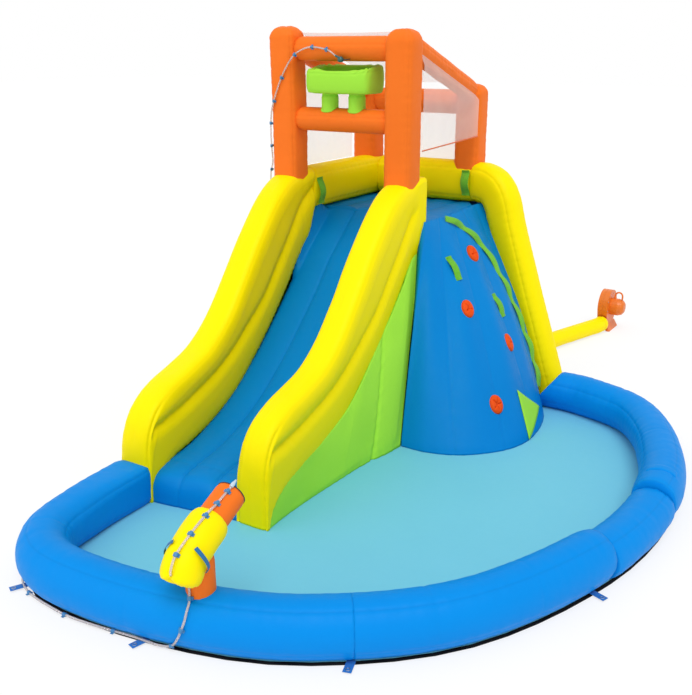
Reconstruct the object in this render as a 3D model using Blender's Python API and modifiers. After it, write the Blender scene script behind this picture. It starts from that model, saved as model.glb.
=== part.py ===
"""Inflatable water park: a slide tower with a climbing wall, a splash pool,
a tipping bucket, a water cannon and the blower that keeps it inflated.

Units are metres, +Z is up. The origin is on the ground at the centre of the
tower's four frame posts. -Y is where the slide runs out, +X is the climbing side.
"""
import math

import bmesh
import bpy
import numpy as np
from mathutils import Matrix, Vector

# Gap between touching pieces, and how far a cutter made from a neighbour is grown
GAP = 0.0005

# Ground sheet and pool floor
SHEET_THICKNESS = 0.003
FLOOR_BOTTOM = 0.0034
FLOOR_TOP = 0.0064
STANDING_Z = 0.0068

# Tower frame
POST_X = 0.455
POST_Y = 0.57
BACK_POST_SHIFT = -0.036
POST_SIDE = 0.206
POST_ROUND = 0.058
POST_FOOT_Z = 1.50
POST_TOPS = {"front_left": 2.640, "front_right": 2.615, "back_left": 2.245, "back_right": 2.245}
CROSS_RADIUS = 0.080
UPPER_CROSS_Z = 2.493
LOWER_CROSS_Z = 2.030
SLOPE_RADIUS = 0.076
NET_THICKNESS = 0.002
ROOF_NET_RISE = 0.070
ROOF_NET_SAG = 0.035
ROOF_NET_INSET = 0.075
ROOF_NET_END = 0.03
NET_TUCK = 0.012
# The side nets hang from inside the sloped tubes out to the posts' outer sides
SIDE_NET_TOP_REACH = 0.045
SLOPE_FRONT_Z = 2.538
SLOPE_BACK_Z = 2.175
BACK_BAR_Z = 2.110
BACK_BAR_RADIUS = 0.090

# Rails round the platform
RAIL_HALF_WIDTH = 0.115
RAIL_HALF_HEIGHT = 0.155
RAIL_Z = 1.520
SIDE_TUBE_HALF = 0.140
RAIL_START_Y = -0.42
DECK_TOP = 1.362
DECK_THICKNESS = 0.055

# Slide, in nominal coordinates that slide_map turns and narrows
SLIDE_TOP_Y = -POST_Y
SLIDE_NOMINAL_LENGTH = 1.905
SLIDE_LEFT_LENGTH = 2.005
SLIDE_LEFT_DRIFT = 0.309
SLIDE_RIGHT_DRIFT = 0.159
PANEL_THICKNESS = 0.05
BED_THICKNESS = 0.09

# Pool ring
RING_HALF_WIDTH = 0.133
RING_CENTRE_Z = 0.128
RING_HALF_HEIGHT = 0.140
RING_SQUARENESS = 2.05
ENTRY_HALF_WIDTH = 0.118
ENTRY_HALF_HEIGHT = 0.110
SHEET_MARGIN = 0.095

# Tipping bucket
BUCKET_HALF_LENGTH = 0.252
BUCKET_FRONT_Y = -0.700
BUCKET_BACK_Y = -0.425
BUCKET_BOTTOM_Z = 2.205
BUCKET_TOP_Z = 2.372
BUCKET_BACK_RISE = 0.020
BUCKET_WALL = 0.045
BUCKET_LEG_X = 0.108
BUCKET_LEG_RADIUS = 0.058
BUCKET_LEG_Y = -0.580
BUCKET_ROUND = 0.042
SPRAYER_PLACE = (0.030, -0.662, 2.424)

# Water cannon
CANNON_X = 1.052
CANNON_Y = -3.370
CANNON_SEAT_Z = 0.236
CANNON_POST_RADIUS = 0.066
CANNON_PIVOT_Z = 0.400
CANNON_BODY_RADIUS = 0.093
CANNON_BARREL_RADIUS = 0.072
CANNON_AZIMUTH = math.radians(4.0)
CANNON_ELEVATION = 22
CANNON_BARREL_LENGTH = 0.140
CANNON_BARREL_WALL = 0.006
CANNON_BORE_DEPTH = 0.030
CANNON_END_ROUND = 0.055
CANNON_POCKET_GAP = 0.0045
CANNON_POCKET_TILTS = (-16, -8, 0, 8, 16)
# How far behind the post the pocket also reaches, for the hose that comes up there
CANNON_HOSE_ROOM = 0.014

# Hoses
HOSE_RADIUS = 0.0055
HOSE_REST_Z = 0.0155

# Air duct and blower
DUCT_RADIUS = 0.066
DUCT_WALL = 0.0035
BLOWER_X = 1.095
BLOWER_Y = 2.270
BLOWER_Z = 0.215
SCROLL_WIDTH = 0.088
SCROLL_RADIUS = 0.180
SCROLL_SMALL_RADIUS = 0.135
SCROLL_WALL = 0.004
MOTOR_COVER_RADIUS = 0.078
MOTOR_COVER_DEPTH = 0.125

PARTS = bpy.data.collections.new("inflatable_water_park")
CUTTERS = bpy.data.collections.new("cutters")
MATERIALS = {}

FINISHES = {
    "ground_black": ((0.012, 0.012, 0.014), 0.65, 0.0),
    "pool_floor_cyan": ((0.18, 0.55, 0.70), 0.40, 0.0),
    "pool_blue": ((0.0, 0.26, 0.83), 0.38, 0.0),
    "slide_blue": ((0.004, 0.19, 0.62), 0.38, 0.0),
    "tower_yellow": ((0.90, 0.78, 0.005), 0.42, 0.0),
    "frame_orange": ((0.85, 0.15, 0.015), 0.45, 0.0),
    "panel_lime": ((0.31, 0.71, 0.065), 0.42, 0.0),
    "strap_green": ((0.15, 0.55, 0.015), 0.70, 0.0),
    "strap_blue": ((0.01, 0.14, 0.38), 0.70, 0.0),
    "net_white": ((0.85, 0.80, 0.72), 0.80, 0.0),
    "hose_clear": ((0.75, 0.70, 0.68), 0.25, 0.0),
    "sprayer_teal": ((0.01, 0.10, 0.11), 0.35, 0.0),
    "nozzle_pale": ((0.62, 0.72, 0.78), 0.30, 0.0),
    "blower_orange": ((0.72, 0.17, 0.01), 0.40, 0.0),
    "blower_dark": ((0.03, 0.03, 0.035), 0.50, 0.0),
    "motor_steel": ((0.45, 0.45, 0.47), 0.35, 0.9),
}


def clear_scene():
    for obj in list(bpy.data.objects):
        bpy.data.objects.remove(obj, do_unlink=True)
    for collection in (PARTS, CUTTERS):
        bpy.context.scene.collection.children.link(collection)


def finish_of(name):
    if name not in MATERIALS:
        colour, roughness, metallic = FINISHES[name]
        mat = bpy.data.materials.new(name)
        mat.use_nodes = True
        shader = mat.node_tree.nodes["Principled BSDF"]
        shader.inputs["Base Color"].default_value = (*colour, 1.0)
        shader.inputs["Roughness"].default_value = roughness
        shader.inputs["Metallic"].default_value = metallic
        mat.diffuse_color = (*colour, 1.0)
        MATERIALS[name] = mat
    return MATERIALS[name]


def add_part(name, mesh, finish):
    mesh.materials.clear()
    mesh.materials.append(finish_of(finish))
    mesh.shade_smooth()
    mesh.set_sharp_from_angle(angle=math.radians(40))
    obj = bpy.data.objects.new(name, mesh)
    PARTS.objects.link(obj)
    return obj


def add_guide(name, mesh):
    obj = bpy.data.objects.new(name, mesh)
    obj.hide_render = True
    obj.display_type = "WIRE"
    CUTTERS.objects.link(obj)
    return obj


def bake(obj):
    """Apply the object's modifiers to its mesh."""
    bpy.context.view_layer.update()
    graph = bpy.context.evaluated_depsgraph_get()
    mesh = bpy.data.meshes.new_from_object(obj.evaluated_get(graph))
    obj.modifiers.clear()
    obj.data = mesh
    return obj


def keep_largest(obj):
    """Drop loose scraps that a cut leaves, and keep the one real body."""
    bm = bmesh.new()
    bm.from_mesh(obj.data)
    bmesh.ops.remove_doubles(bm, verts=bm.verts, dist=0.00002)
    left = set(bm.verts)
    islands = []
    while left:
        seed = left.pop()
        island = {seed}
        stack = [seed]
        while stack:
            vert = stack.pop()
            for edge in vert.link_edges:
                other = edge.other_vert(vert)
                if other not in island:
                    island.add(other)
                    stack.append(other)
        left -= island
        islands.append(island)
    islands.sort(key=len)
    for island in islands[:-1]:
        bmesh.ops.delete(bm, geom=list(island), context="VERTS")
    bmesh.ops.recalc_face_normals(bm, faces=bm.faces)
    bm.to_mesh(obj.data)
    bm.free()
    return obj


def grown_copy(obj, distance=GAP):
    """A cutter: the object's own mesh, a hair larger all round."""
    bm = bmesh.new()
    bm.from_mesh(obj.data)
    bm.normal_update()
    for vert in bm.verts:
        vert.co += vert.normal * distance * min(vert.calc_shell_factor(), 1.5)
    mesh = bpy.data.meshes.new(obj.name + "_cutter")
    bm.to_mesh(mesh)
    bm.free()
    return add_guide(obj.name + "_cutter", mesh)


def combine(obj, tool, operation):
    mod = obj.modifiers.new("combine", "BOOLEAN")
    mod.operation = operation
    mod.solver = "EXACT"
    mod.object = tool
    bake(obj)
    bpy.data.objects.remove(tool, do_unlink=True)
    return obj


def stand_on_floor(obj):
    """Cut off what is under the pool floor, and close the cut flat."""
    bm = bmesh.new()
    bm.from_mesh(obj.data)
    everything = bm.verts[:] + bm.edges[:] + bm.faces[:]
    bmesh.ops.bisect_plane(bm, geom=everything, dist=0.00002, plane_co=(0, 0, STANDING_Z),
                           plane_no=(0, 0, 1), clear_inner=True)
    bmesh.ops.holes_fill(bm, edges=[e for e in bm.edges if e.is_boundary], sides=0)
    bmesh.ops.recalc_face_normals(bm, faces=bm.faces)
    bm.to_mesh(obj.data)
    bm.free()
    return obj


def trim(obj, *neighbours, gap=GAP):
    """Cut the object back from its neighbours, leaving a hair of clearance."""
    for neighbour in neighbours:
        combine(obj, grown_copy(neighbour, gap), "DIFFERENCE")
    return keep_largest(obj)


def join(obj, *others):
    for other in others:
        combine(obj, other, "UNION")
    return keep_largest(obj)


def smooth_through(points, count):
    """Catmull-Rom curve through the points, sampled evenly along its length."""
    pts = np.array(points, float)
    padded = np.vstack([2 * pts[0] - pts[1], pts, 2 * pts[-1] - pts[-2]])
    dense = []
    for i in range(1, len(padded) - 2):
        p0, p1, p2, p3 = padded[i - 1:i + 3]
        for t in np.linspace(0.0, 1.0, 24, endpoint=False):
            dense.append(
                0.5 * (2 * p1 + (p2 - p0) * t + (2 * p0 - 5 * p1 + 4 * p2 - p3) * t ** 2
                       + (3 * p1 - p0 - 3 * p2 + p3) * t ** 3)
            )
    dense.append(pts[-1])
    dense = np.array(dense)
    steps = np.linalg.norm(np.diff(dense, axis=0), axis=1)
    length = np.concatenate([[0.0], np.cumsum(steps)])
    where = np.linspace(0.0, length[-1], count)
    return np.stack([np.interp(where, length, dense[:, k]) for k in range(pts.shape[1])], axis=1)


def loft(name, rings, finish):
    """A closed skin over rings of equal point count, flat at both ends."""
    bm = bmesh.new()
    rows = [[bm.verts.new(tuple(p)) for p in ring] for ring in rings]
    count = len(rows[0])
    for low, high in zip(rows, rows[1:]):
        for i in range(count):
            j = (i + 1) % count
            bm.faces.new((low[i], low[j], high[j], high[i]))
    bm.faces.new(rows[0][::-1])
    bm.faces.new(rows[-1])
    split_quads(bm)
    bmesh.ops.recalc_face_normals(bm, faces=bm.faces)
    mesh = bpy.data.meshes.new(name)
    bm.to_mesh(mesh)
    bm.free()
    return add_part(name, mesh, finish)


def split_quads(bm):
    """Twisted quads become triangles, so that a copy used as a cutter matches."""
    bmesh.ops.triangulate(bm, faces=[f for f in bm.faces if len(f.verts) == 4])


def shell(name, grid, thickness, outward, finish):
    """An open grid of points thickened inward, away from the outward hint."""
    bm = bmesh.new()
    rows = [[bm.verts.new(tuple(p)) for p in row] for row in grid]
    for low, high in zip(rows, rows[1:]):
        for i in range(len(low) - 1):
            bm.faces.new((low[i], low[i + 1], high[i + 1], high[i]))
    bm.normal_update()
    total = sum((face.normal * face.calc_area() for face in bm.faces), Vector())
    if total.dot(Vector(outward)) < 0:
        bmesh.ops.reverse_faces(bm, faces=bm.faces)
    mesh = bpy.data.meshes.new(name)
    bm.to_mesh(mesh)
    bm.free()
    obj = add_part(name, mesh, finish)
    mod = obj.modifiers.new("thickness", "SOLIDIFY")
    mod.thickness = thickness
    mod.offset = -1.0
    bake(obj)
    bm = bmesh.new()
    bm.from_mesh(obj.data)
    split_quads(bm)
    for vert in bm.verts:
        vert.co.z = max(vert.co.z, STANDING_Z)
    bm.to_mesh(obj.data)
    bm.free()
    return keep_largest(obj)


def rounded_section(half_width, half_height, squareness, count):
    """A superellipse ring of (side, up) offsets."""
    ring = []
    for i in range(count):
        angle = 2 * math.pi * (i + 0.5) / count
        c, s = math.cos(angle), math.sin(angle)
        power = 2.0 / squareness
        ring.append((
            half_width * math.copysign(abs(c) ** power, c),
            half_height * math.copysign(abs(s) ** power, s),
        ))
    return ring


def sweep_rings(path, section_at, side=None, floor=None):
    """Rings along a path; side is a fixed sideways direction, or follows the plan."""
    path = np.array(path, float)
    rings = []
    tangents = np.gradient(path, axis=0)
    for i, (point, tangent) in enumerate(zip(path, tangents)):
        tangent = tangent / np.linalg.norm(tangent)
        across = np.array(side) if side is not None else np.array([tangent[1], -tangent[0], 0.0])
        across = across / np.linalg.norm(across)
        up = np.cross(across, tangent)
        ring = [point + across * s + up * u for s, u in section_at(i / (len(path) - 1))]
        if floor is not None:
            ring = [np.array([p[0], p[1], max(p[2], floor)]) for p in ring]
        rings.append(ring)
    return rings


def rounded_ends(section, length, radius):
    """Section function for a sweep whose two ends draw in like a pillow."""
    def at(t):
        reach = min(t, 1.0 - t) * length
        if reach >= radius:
            return section
        shrink = math.sqrt(max(0.0, 1.0 - (1.0 - reach / radius) ** 2))
        scale = 0.72 + 0.28 * shrink
        return [(s * scale, u * scale) for s, u in section]
    return at


def tube(name, points, radius, finish, resolution=4, cyclic=False):
    """A round tube: a poly curve with a bevel and filled caps, made a mesh."""
    curve = bpy.data.curves.new(name, "CURVE")
    curve.dimensions = "3D"
    curve.bevel_depth = radius
    curve.bevel_resolution = resolution
    curve.use_fill_caps = True
    spline = curve.splines.new("POLY")
    spline.points.add(len(points) - 1)
    for target, point in zip(spline.points, points):
        target.co = (*point, 1.0)
    spline.use_cyclic_u = cyclic
    source = bpy.data.objects.new(name + "_curve", curve)
    CUTTERS.objects.link(source)
    bpy.context.view_layer.update()
    graph = bpy.context.evaluated_depsgraph_get()
    mesh = bpy.data.meshes.new_from_object(source.evaluated_get(graph))
    bpy.data.objects.remove(source, do_unlink=True)
    bm = bmesh.new()
    bm.from_mesh(mesh)
    bmesh.ops.remove_doubles(bm, verts=bm.verts, dist=0.00005)
    bmesh.ops.recalc_face_normals(bm, faces=bm.faces)
    bm.to_mesh(mesh)
    bm.free()
    return add_part(name, mesh, finish)


def primitive_part(name, finish):
    """Take over the primitive that was just added, with its scale applied."""
    obj = bpy.context.active_object
    mesh = obj.data
    bpy.context.view_layer.update()
    mesh.transform(obj.matrix_world)
    bpy.data.objects.remove(obj, do_unlink=True)
    return add_part(name, mesh, finish)


def box(name, low, high, finish, bevel=0.0, segments=2):
    low, high = np.array(low, float), np.array(high, float)
    bpy.ops.mesh.primitive_cube_add(size=1.0, location=tuple((low + high) / 2))
    bpy.context.active_object.scale = tuple(high - low)
    obj = primitive_part(name, finish)
    if bevel:
        mod = obj.modifiers.new("rounding", "BEVEL")
        mod.width = bevel
        mod.segments = segments
        mod.limit_method = "NONE"
        bake(obj)
    return obj


def cylinder(name, centre, radius, depth, axis, finish, sides=24):
    rotation = Vector((0, 0, 1)).rotation_difference(Vector(axis)).to_euler()
    bpy.ops.mesh.primitive_cylinder_add(
        vertices=sides, radius=radius, depth=depth, location=centre, rotation=rotation)
    return primitive_part(name, finish)


def turned(name, profile, finish, steps=24):
    """Turn a closed-axis profile of (radius, z) about Z with a Screw modifier."""
    bm = bmesh.new()
    verts = [bm.verts.new((r, 0.0, z)) for r, z in profile]
    for a, b in zip(verts, verts[1:]):
        bm.edges.new((a, b))
    mesh = bpy.data.meshes.new(name)
    bm.to_mesh(mesh)
    bm.free()
    obj = add_part(name, mesh, finish)
    mod = obj.modifiers.new("turn", "SCREW")
    mod.steps = steps
    mod.render_steps = steps
    mod.use_merge_vertices = True
    mod.merge_threshold = 0.00005
    return keep_largest(bake(obj))


def move(obj, matrix):
    obj.data.transform(matrix)
    return obj


# Where the pool ring runs: the centre of its tube in plan, from the slide's
# left wall round the front and the entry to the foot of the side tube
RING_ROUTE = [
    (-0.165, -2.560), (-0.130, -2.980), (-0.030, -3.320), (0.265, -3.472), (0.918, -3.410),
    (1.485, -3.190), (2.016, -2.702), (2.354, -1.916), (2.440, -1.168), (2.295, -0.549),
    (2.010, -0.072), (1.600, 0.105), (1.270, 0.130),
]
RING_STATIONS = 40
RING_POINTS = 16
# Seams between the ring's four sections, as stations along it
RING_SEAMS = {"pool_wall_left": (0, 15), "pool_wall_front": (15, 23),
              "pool_wall_entry": (23, 27), "pool_wall_right": (27, 39)}


def ring_path():
    plan = smooth_through(RING_ROUTE, RING_STATIONS)
    return np.column_stack([plan, np.full(len(plan), RING_CENTRE_Z)])


def ring_section(name):
    if name != "pool_wall_entry":
        return rounded_section(RING_HALF_WIDTH, RING_HALF_HEIGHT, RING_SQUARENESS, RING_POINTS)
    section = rounded_section(ENTRY_HALF_WIDTH, ENTRY_HALF_HEIGHT, RING_SQUARENESS, RING_POINTS)
    drop = RING_HALF_HEIGHT - ENTRY_HALF_HEIGHT
    return [(s, u - drop) for s, u in section]


def make_pool_ring():
    path = ring_path()
    tangents = np.gradient(path, axis=0)
    tangents /= np.linalg.norm(tangents, axis=1)[:, None]
    parts = {}
    for name, (start, end) in RING_SEAMS.items():
        section = ring_section(name)
        rings = sweep_rings(path, lambda t, s=section: s, floor=STANDING_Z)[start:end + 1]
        if start:
            rings[0] = [p + tangents[start] * GAP for p in rings[0]]
        if end < RING_STATIONS - 1:
            rings[-1] = [p - tangents[end] * GAP for p in rings[-1]]
        parts[name] = loft(name, rings, "pool_blue")
    return parts


def ground_outline(margin):
    """The sheet's outline: outside the ring, then round the back of the tower."""
    path = ring_path()[:, :2]
    tangents = np.gradient(path, axis=0)
    tangents /= np.linalg.norm(tangents, axis=1)[:, None]
    outward = np.column_stack([tangents[:, 1], -tangents[:, 0]])
    front = path + outward * margin
    back = [(1.33, 0.42), (0.60, 0.72), (-0.60, 0.72), (-0.60, -0.50), (-0.40, -2.30)]
    return [tuple(p) for p in front[::2]] + back


def make_flat_sheet(name, outline, bottom, thickness, finish):
    bm = bmesh.new()
    verts = [bm.verts.new((x, y, bottom)) for x, y in outline]
    face = bm.faces.new(verts)
    grown = bmesh.ops.extrude_face_region(bm, geom=[face])
    tops = [g for g in grown["geom"] if isinstance(g, bmesh.types.BMVert)]
    bmesh.ops.translate(bm, vec=(0, 0, thickness), verts=tops)
    bmesh.ops.recalc_face_normals(bm, faces=bm.faces)
    mesh = bpy.data.meshes.new(name)
    bm.to_mesh(mesh)
    bm.free()
    return add_part(name, mesh, finish)


# Side view of a slide wall as pairs of top and bottom points (y, z), from the
# platform end down to the nose on the pool floor
WALL_PAIRS = [
    ((-0.42, 1.668), (-0.42, 1.36)), ((-0.56, 1.652), (-0.47, 1.20)),
    ((-0.74, 1.612), (-0.56, 1.10)), ((-0.92, 1.510), (-0.66, 1.015)),
    ((-1.15, 1.305), (-0.79, 0.885)), ((-1.40, 1.035), (-1.04, 0.665)),
    ((-1.60, 0.840), (-1.27, 0.495)), ((-1.80, 0.718), (-1.53, 0.330)),
    ((-2.00, 0.662), (-1.82, 0.235)), ((-2.18, 0.622), (-2.05, 0.195)),
    ((-2.32, 0.565), (-2.19, 0.165)), ((-2.41, 0.480), (-2.26, 0.125)),
    ((-2.460, 0.360), (-2.30, 0.080)), ((-2.475, 0.190), (-2.32, 0.035)),
    ((-2.475, STANDING_Z), (-2.33, STANDING_Z)),
]
WALL_STATIONS = 20
# Half-widths of the wall's two stacked tubes, from the top edge (0) down (1)
WALL_SECTION = [
    (0.0, 0.052), (0.04, 0.088), (0.12, 0.105), (0.27, 0.109), (0.47, 0.089),
    (0.62, 0.100), (0.80, 0.105), (0.94, 0.099), (1.0, 0.084),
]
# The left wall's outer side, which nothing presses on, stands further out
LEFT_WALL_BULGE = 0.018
# The right wall ends beside its post in a flat upright panel
WALL_END_Y = -0.50
WALL_END_HALF = 0.114


def slide_progress(y):
    """0 at the tower's front posts, 1 at the slide's exit, in nominal y."""
    return max(0.0, (SLIDE_TOP_Y - y) / SLIDE_NOMINAL_LENGTH)


def slide_y(y, side):
    """Real y for a nominal one; side runs from -1 at the left wall to 1 at the right."""
    if y > SLIDE_TOP_Y:
        return y
    length = np.interp(side, [-1, 1], [SLIDE_LEFT_LENGTH, SLIDE_NOMINAL_LENGTH])
    return SLIDE_TOP_Y - slide_progress(y) * float(length)


def wall_centre_x(y, side):
    """Centre of a slide wall at a nominal y."""
    drift = SLIDE_LEFT_DRIFT if side < 0 else SLIDE_RIGHT_DRIFT
    return side * POST_X + slide_progress(y) * drift


def make_slide_wall(name, side):
    tops = smooth_through([p[0] for p in WALL_PAIRS], WALL_STATIONS)
    bottoms = smooth_through([p[1] for p in WALL_PAIRS], WALL_STATIONS)
    rings = []
    for top, bottom in zip(tops, bottoms):
        ring = []
        for sign in (1, -1):
            rows = WALL_SECTION if sign > 0 else WALL_SECTION[::-1]
            for v, half in rows:
                y, z = top + (bottom - top) * v
                free_side = side < 0 and sign < 0
                reach = half + (LEFT_WALL_BULGE if free_side else 0.0)
                if side > 0 and sign > 0 and y > WALL_END_Y:
                    reach = WALL_END_HALF
                x = wall_centre_x(y, side) + sign * reach
                ring.append((x, slide_y(y, side), max(z, STANDING_Z)))
        rings.append(ring)
    return loft(name, rings, "tower_yellow")


# Slide bed surface (y, z) along its middle, from the platform to the exit lip
BED_ROUTE = [
    (-0.20, 1.362), (-0.34, 1.250), (-0.57, 1.050), (-0.80, 0.850), (-1.05, 0.660),
    (-1.30, 0.490), (-1.55, 0.350), (-1.80, 0.255), (-2.05, 0.200), (-2.30, 0.182),
    (-2.41, 0.158), (-2.455, 0.100), (-2.463, STANDING_Z),
]
BED_STATIONS = 17
BED_COLUMNS = 5
BED_CROWN = 0.012


def make_slide_bed():
    route = smooth_through(BED_ROUTE, BED_STATIONS)
    grid = []
    for y, z in route:
        row = []
        for side in np.linspace(-1, 1, BED_COLUMNS):
            left, right = wall_centre_x(y, -1), wall_centre_x(y, 1)
            x = left + (right - left) * (side + 1) / 2
            crown = BED_CROWN * (1 - side ** 2)
            row.append((x, slide_y(y, side), z + crown if z > 0.05 else z))
        grid.append(row)
    return shell("slide_bed", grid, BED_THICKNESS, (0, -0.5, 1), "slide_blue")


# Floor line of the right side panel, then of the climbing wall's fan (x, y)
RIGHT_PANEL_FLOOR = [(0.716, -2.462), (0.700, -2.140), (0.719, -1.625), (0.790, -1.125)]
CLIMB_FLOOR = [
    (0.792, -1.122), (0.980, -1.118), (1.190, -1.035), (1.380, -0.840),
    (1.465, -0.620), (1.462, -0.360), (1.405, -0.120), (1.320, 0.050), (1.220, 0.250),
]
CLIMB_TOP = [(0.585, -0.450, 1.372), (0.575, -0.010, 1.372), (0.562, 0.380, 1.360),
             (0.660, 0.430, 1.300)]
CLIMB_COLUMNS = 17
CLIMB_ROWS = 6
CLIMB_FLUTE = 0.012
CLIMB_BULGE = 0.030


def wall_lower_edge(count):
    """Points on the lower edge of a slide wall in nominal (y, z)."""
    return smooth_through([p[1] for p in WALL_PAIRS], count)


def ruled_grid(bottom, top, rows, bulge, outward, flute=0.0):
    """Rows of points between two edges, bulging outward in the middle."""
    grid = []
    last = len(bottom) - 1
    for j in range(rows):
        t = j / (rows - 1)
        row = []
        for i, (low, high) in enumerate(zip(bottom, top)):
            low, high = np.array(low), np.array(high)
            push = bulge * math.sin(math.pi * t)
            if flute and 0 < i < last and i % 2:
                push += flute
            row.append(low + (high - low) * t + np.array(outward(i / last)) * push)
        grid.append(row)
    return grid


def make_side_panel_right():
    columns = 9
    floor = smooth_through(RIGHT_PANEL_FLOOR, columns)
    edge = [p for p in wall_lower_edge(40) if -2.31 < p[0] < -0.45]
    edge = smooth_through(edge[::-1], columns)
    bottom = [(x, y, STANDING_Z) for x, y in floor]
    top = [(wall_centre_x(y, 1) + 0.096, slide_y(y, 1), z + 0.06) for y, z in edge]
    grid = ruled_grid(bottom, top, 5, 0.012, lambda u: (1, 0, 0))
    return shell("side_panel_right", grid, PANEL_THICKNESS, (1, 0, 0), "panel_lime")


def make_side_panel_left():
    columns = 13
    edge = [p for p in wall_lower_edge(40) if -2.31 < p[0] < -0.45]
    edge = smooth_through(edge[::-1], columns - 4)
    bottom = []
    top = []
    for y, z in edge:
        x = wall_centre_x(y, -1) - 0.094
        top.append((x, slide_y(y, -1), z + 0.06))
        bottom.append((x, slide_y(y, -1), STANDING_Z))
    for y in np.linspace(-0.25, POST_Y + 0.075, 4):
        top.append((-POST_X - 0.094, y, RAIL_Z - 0.10))
        bottom.append((-POST_X - 0.094, y, STANDING_Z))
    grid = ruled_grid(bottom, top, 5, 0.012, lambda u: (-1, 0, 0))
    return shell("side_panel_left", grid, PANEL_THICKNESS, (-1, 0, 0), "panel_lime")


CLIMB_FLOOR_LINE = smooth_through(CLIMB_FLOOR, 201)
CLIMB_TOP_LINE = smooth_through(CLIMB_TOP, 201)


def climb_outward(u):
    angle = math.radians(-75 + 125 * u)
    return (math.cos(angle), math.sin(angle), 0.35)


def make_climbing_wall():
    floor = smooth_through(CLIMB_FLOOR, CLIMB_COLUMNS)
    edge = smooth_through(CLIMB_TOP, CLIMB_COLUMNS)
    bottom = [(x, y, STANDING_Z) for x, y in floor]
    top = [tuple(p) for p in edge]
    grid = ruled_grid(bottom, top, CLIMB_ROWS, CLIMB_BULGE, climb_outward, CLIMB_FLUTE)
    return shell("climbing_wall", grid, PANEL_THICKNESS, (1, -0.4, 0.3), "slide_blue")


def make_back_panel(side_route):
    """The tower's back, and the wing under the side tube."""
    columns = []
    for x in np.linspace(-POST_X - 0.02, POST_X, 6):
        columns.append(((x, POST_Y + 0.085), RAIL_Z - 0.10))
    for x, y, z in side_route[3:-3]:
        columns.append(((x, y + 0.07), z))
    bottom = [(x, y, STANDING_Z) for (x, y), z in columns]
    top = [(x, y, z) for (x, y), z in columns]
    grid = ruled_grid(bottom, top, 4, 0.010, lambda u: (0, 1, 0))
    return shell("back_panel", grid, PANEL_THICKNESS, (0.2, 1, 0), "slide_blue")


# Side tube from the back rail's end down to the pool, as (distance, height)
# in the upright plane that runs from the back right post to the ring's end
SIDE_TUBE_START = (0.500, 0.555)
SIDE_TUBE_FOOT = (1.300, 0.300)
SIDE_TUBE_ROUTE = [
    (0.000, 1.520), (0.090, 1.518), (0.185, 1.485), (0.262, 1.385), (0.325, 1.200),
    (0.475, 0.820), (0.615, 0.480), (0.742, 0.170), (0.862, -0.130),
]


def side_tube_path(count):
    start, foot = np.array(SIDE_TUBE_START), np.array(SIDE_TUBE_FOOT)
    along = (foot - start) / np.linalg.norm(foot - start)
    route = smooth_through(SIDE_TUBE_ROUTE, count)
    return [(*(start + along * r), z) for r, z in route], along


def rail_section():
    return rounded_section(RAIL_HALF_WIDTH, RAIL_HALF_HEIGHT, 2.6, 16)


def make_rails():
    section = rail_section()
    left_path = [(-POST_X, y, RAIL_Z) for y in np.linspace(RAIL_START_Y + GAP, POST_Y + 0.115, 6)]
    left = loft("rail_left", sweep_rings(left_path, lambda t: section), "tower_yellow")
    inner = -POST_X + 0.02
    back_path = [(x, POST_Y - 0.005, RAIL_Z) for x in np.linspace(inner, SIDE_TUBE_START[0], 6)]
    back = loft("rail_back", sweep_rings(back_path, lambda t: section), "tower_yellow")
    trim(back, left)
    path, along = side_tube_path(16)
    side = (along[1], -along[0], 0.0)

    def slimmer(t):
        shrink = 1.0 - (1.0 - SIDE_TUBE_HALF / RAIL_HALF_HEIGHT) * min(1.0, t / 0.2)
        return [(s, u * shrink) for s, u in section]

    rings = sweep_rings(path, slimmer, side=side)
    tube_down = stand_on_floor(loft("side_tube_right", rings, "tower_yellow"))
    trim(tube_down, back)
    return left, back, tube_down, path


# The platform's outline under the rails, from the slide's top round to the climb
DECK_OUTLINE = [
    (-0.495, -0.225), (0.430, -0.225), (0.480, -0.405), (0.555, -0.405),
    (0.548, 0.000), (0.522, 0.420), (0.400, 0.590), (-0.495, 0.590),
]


def make_deck(bed, climb):
    deck = make_flat_sheet("deck", DECK_OUTLINE, DECK_TOP - DECK_THICKNESS, DECK_THICKNESS,
                           "slide_blue")
    return trim(deck, bed, climb)


def make_posts():
    half = POST_SIDE / 2
    posts = {}
    for place, top in POST_TOPS.items():
        row, side = place.split("_")
        y = -POST_Y if row == "front" else POST_Y
        x = frame_x(-1 if side == "left" else 1, y)
        name = f"post_{place}"
        posts[name] = box(name, (x - half, y - half, POST_FOOT_Z), (x + half, y + half, top),
                          "frame_orange", bevel=POST_ROUND, segments=3)
    return posts


def frame_x(sign, y):
    """Centre of the frame's left (-1) or right (1) side at y; its back leans left."""
    return sign * POST_X + BACK_POST_SHIFT * (y + POST_Y) / (2 * POST_Y)


def make_frame_tubes(posts):
    across = {"frame_tube_front_top": (-POST_Y, UPPER_CROSS_Z, CROSS_RADIUS),
              "frame_tube_front_middle": (-POST_Y, LOWER_CROSS_Z, CROSS_RADIUS),
              "frame_tube_back": (POST_Y, BACK_BAR_Z, BACK_BAR_RADIUS)}
    tubes = {}
    for name, (y, z, radius) in across.items():
        line = [(frame_x(-1, y), y, z), (frame_x(1, y), y, z)]
        tubes[name] = tube(name, line, radius, "frame_orange", 6)
    for side, sign in (("left", -1), ("right", 1)):
        name = f"frame_tube_slope_{side}"
        line = [(frame_x(sign, -POST_Y), -POST_Y, SLOPE_FRONT_Z),
                (frame_x(sign, POST_Y), POST_Y, SLOPE_BACK_Z)]
        tubes[name] = trim(tube(name, line, SLOPE_RADIUS, "frame_orange", 6),
                           tubes["frame_tube_front_top"], tubes["frame_tube_back"],
                           posts[f"post_front_{side}"], posts[f"post_back_{side}"])
    for name, (y, z, radius) in across.items():
        row = "front" if y < 0 else "back"
        trim(tubes[name], posts[f"post_{row}_left"], posts[f"post_{row}_right"])
    return tubes


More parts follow.
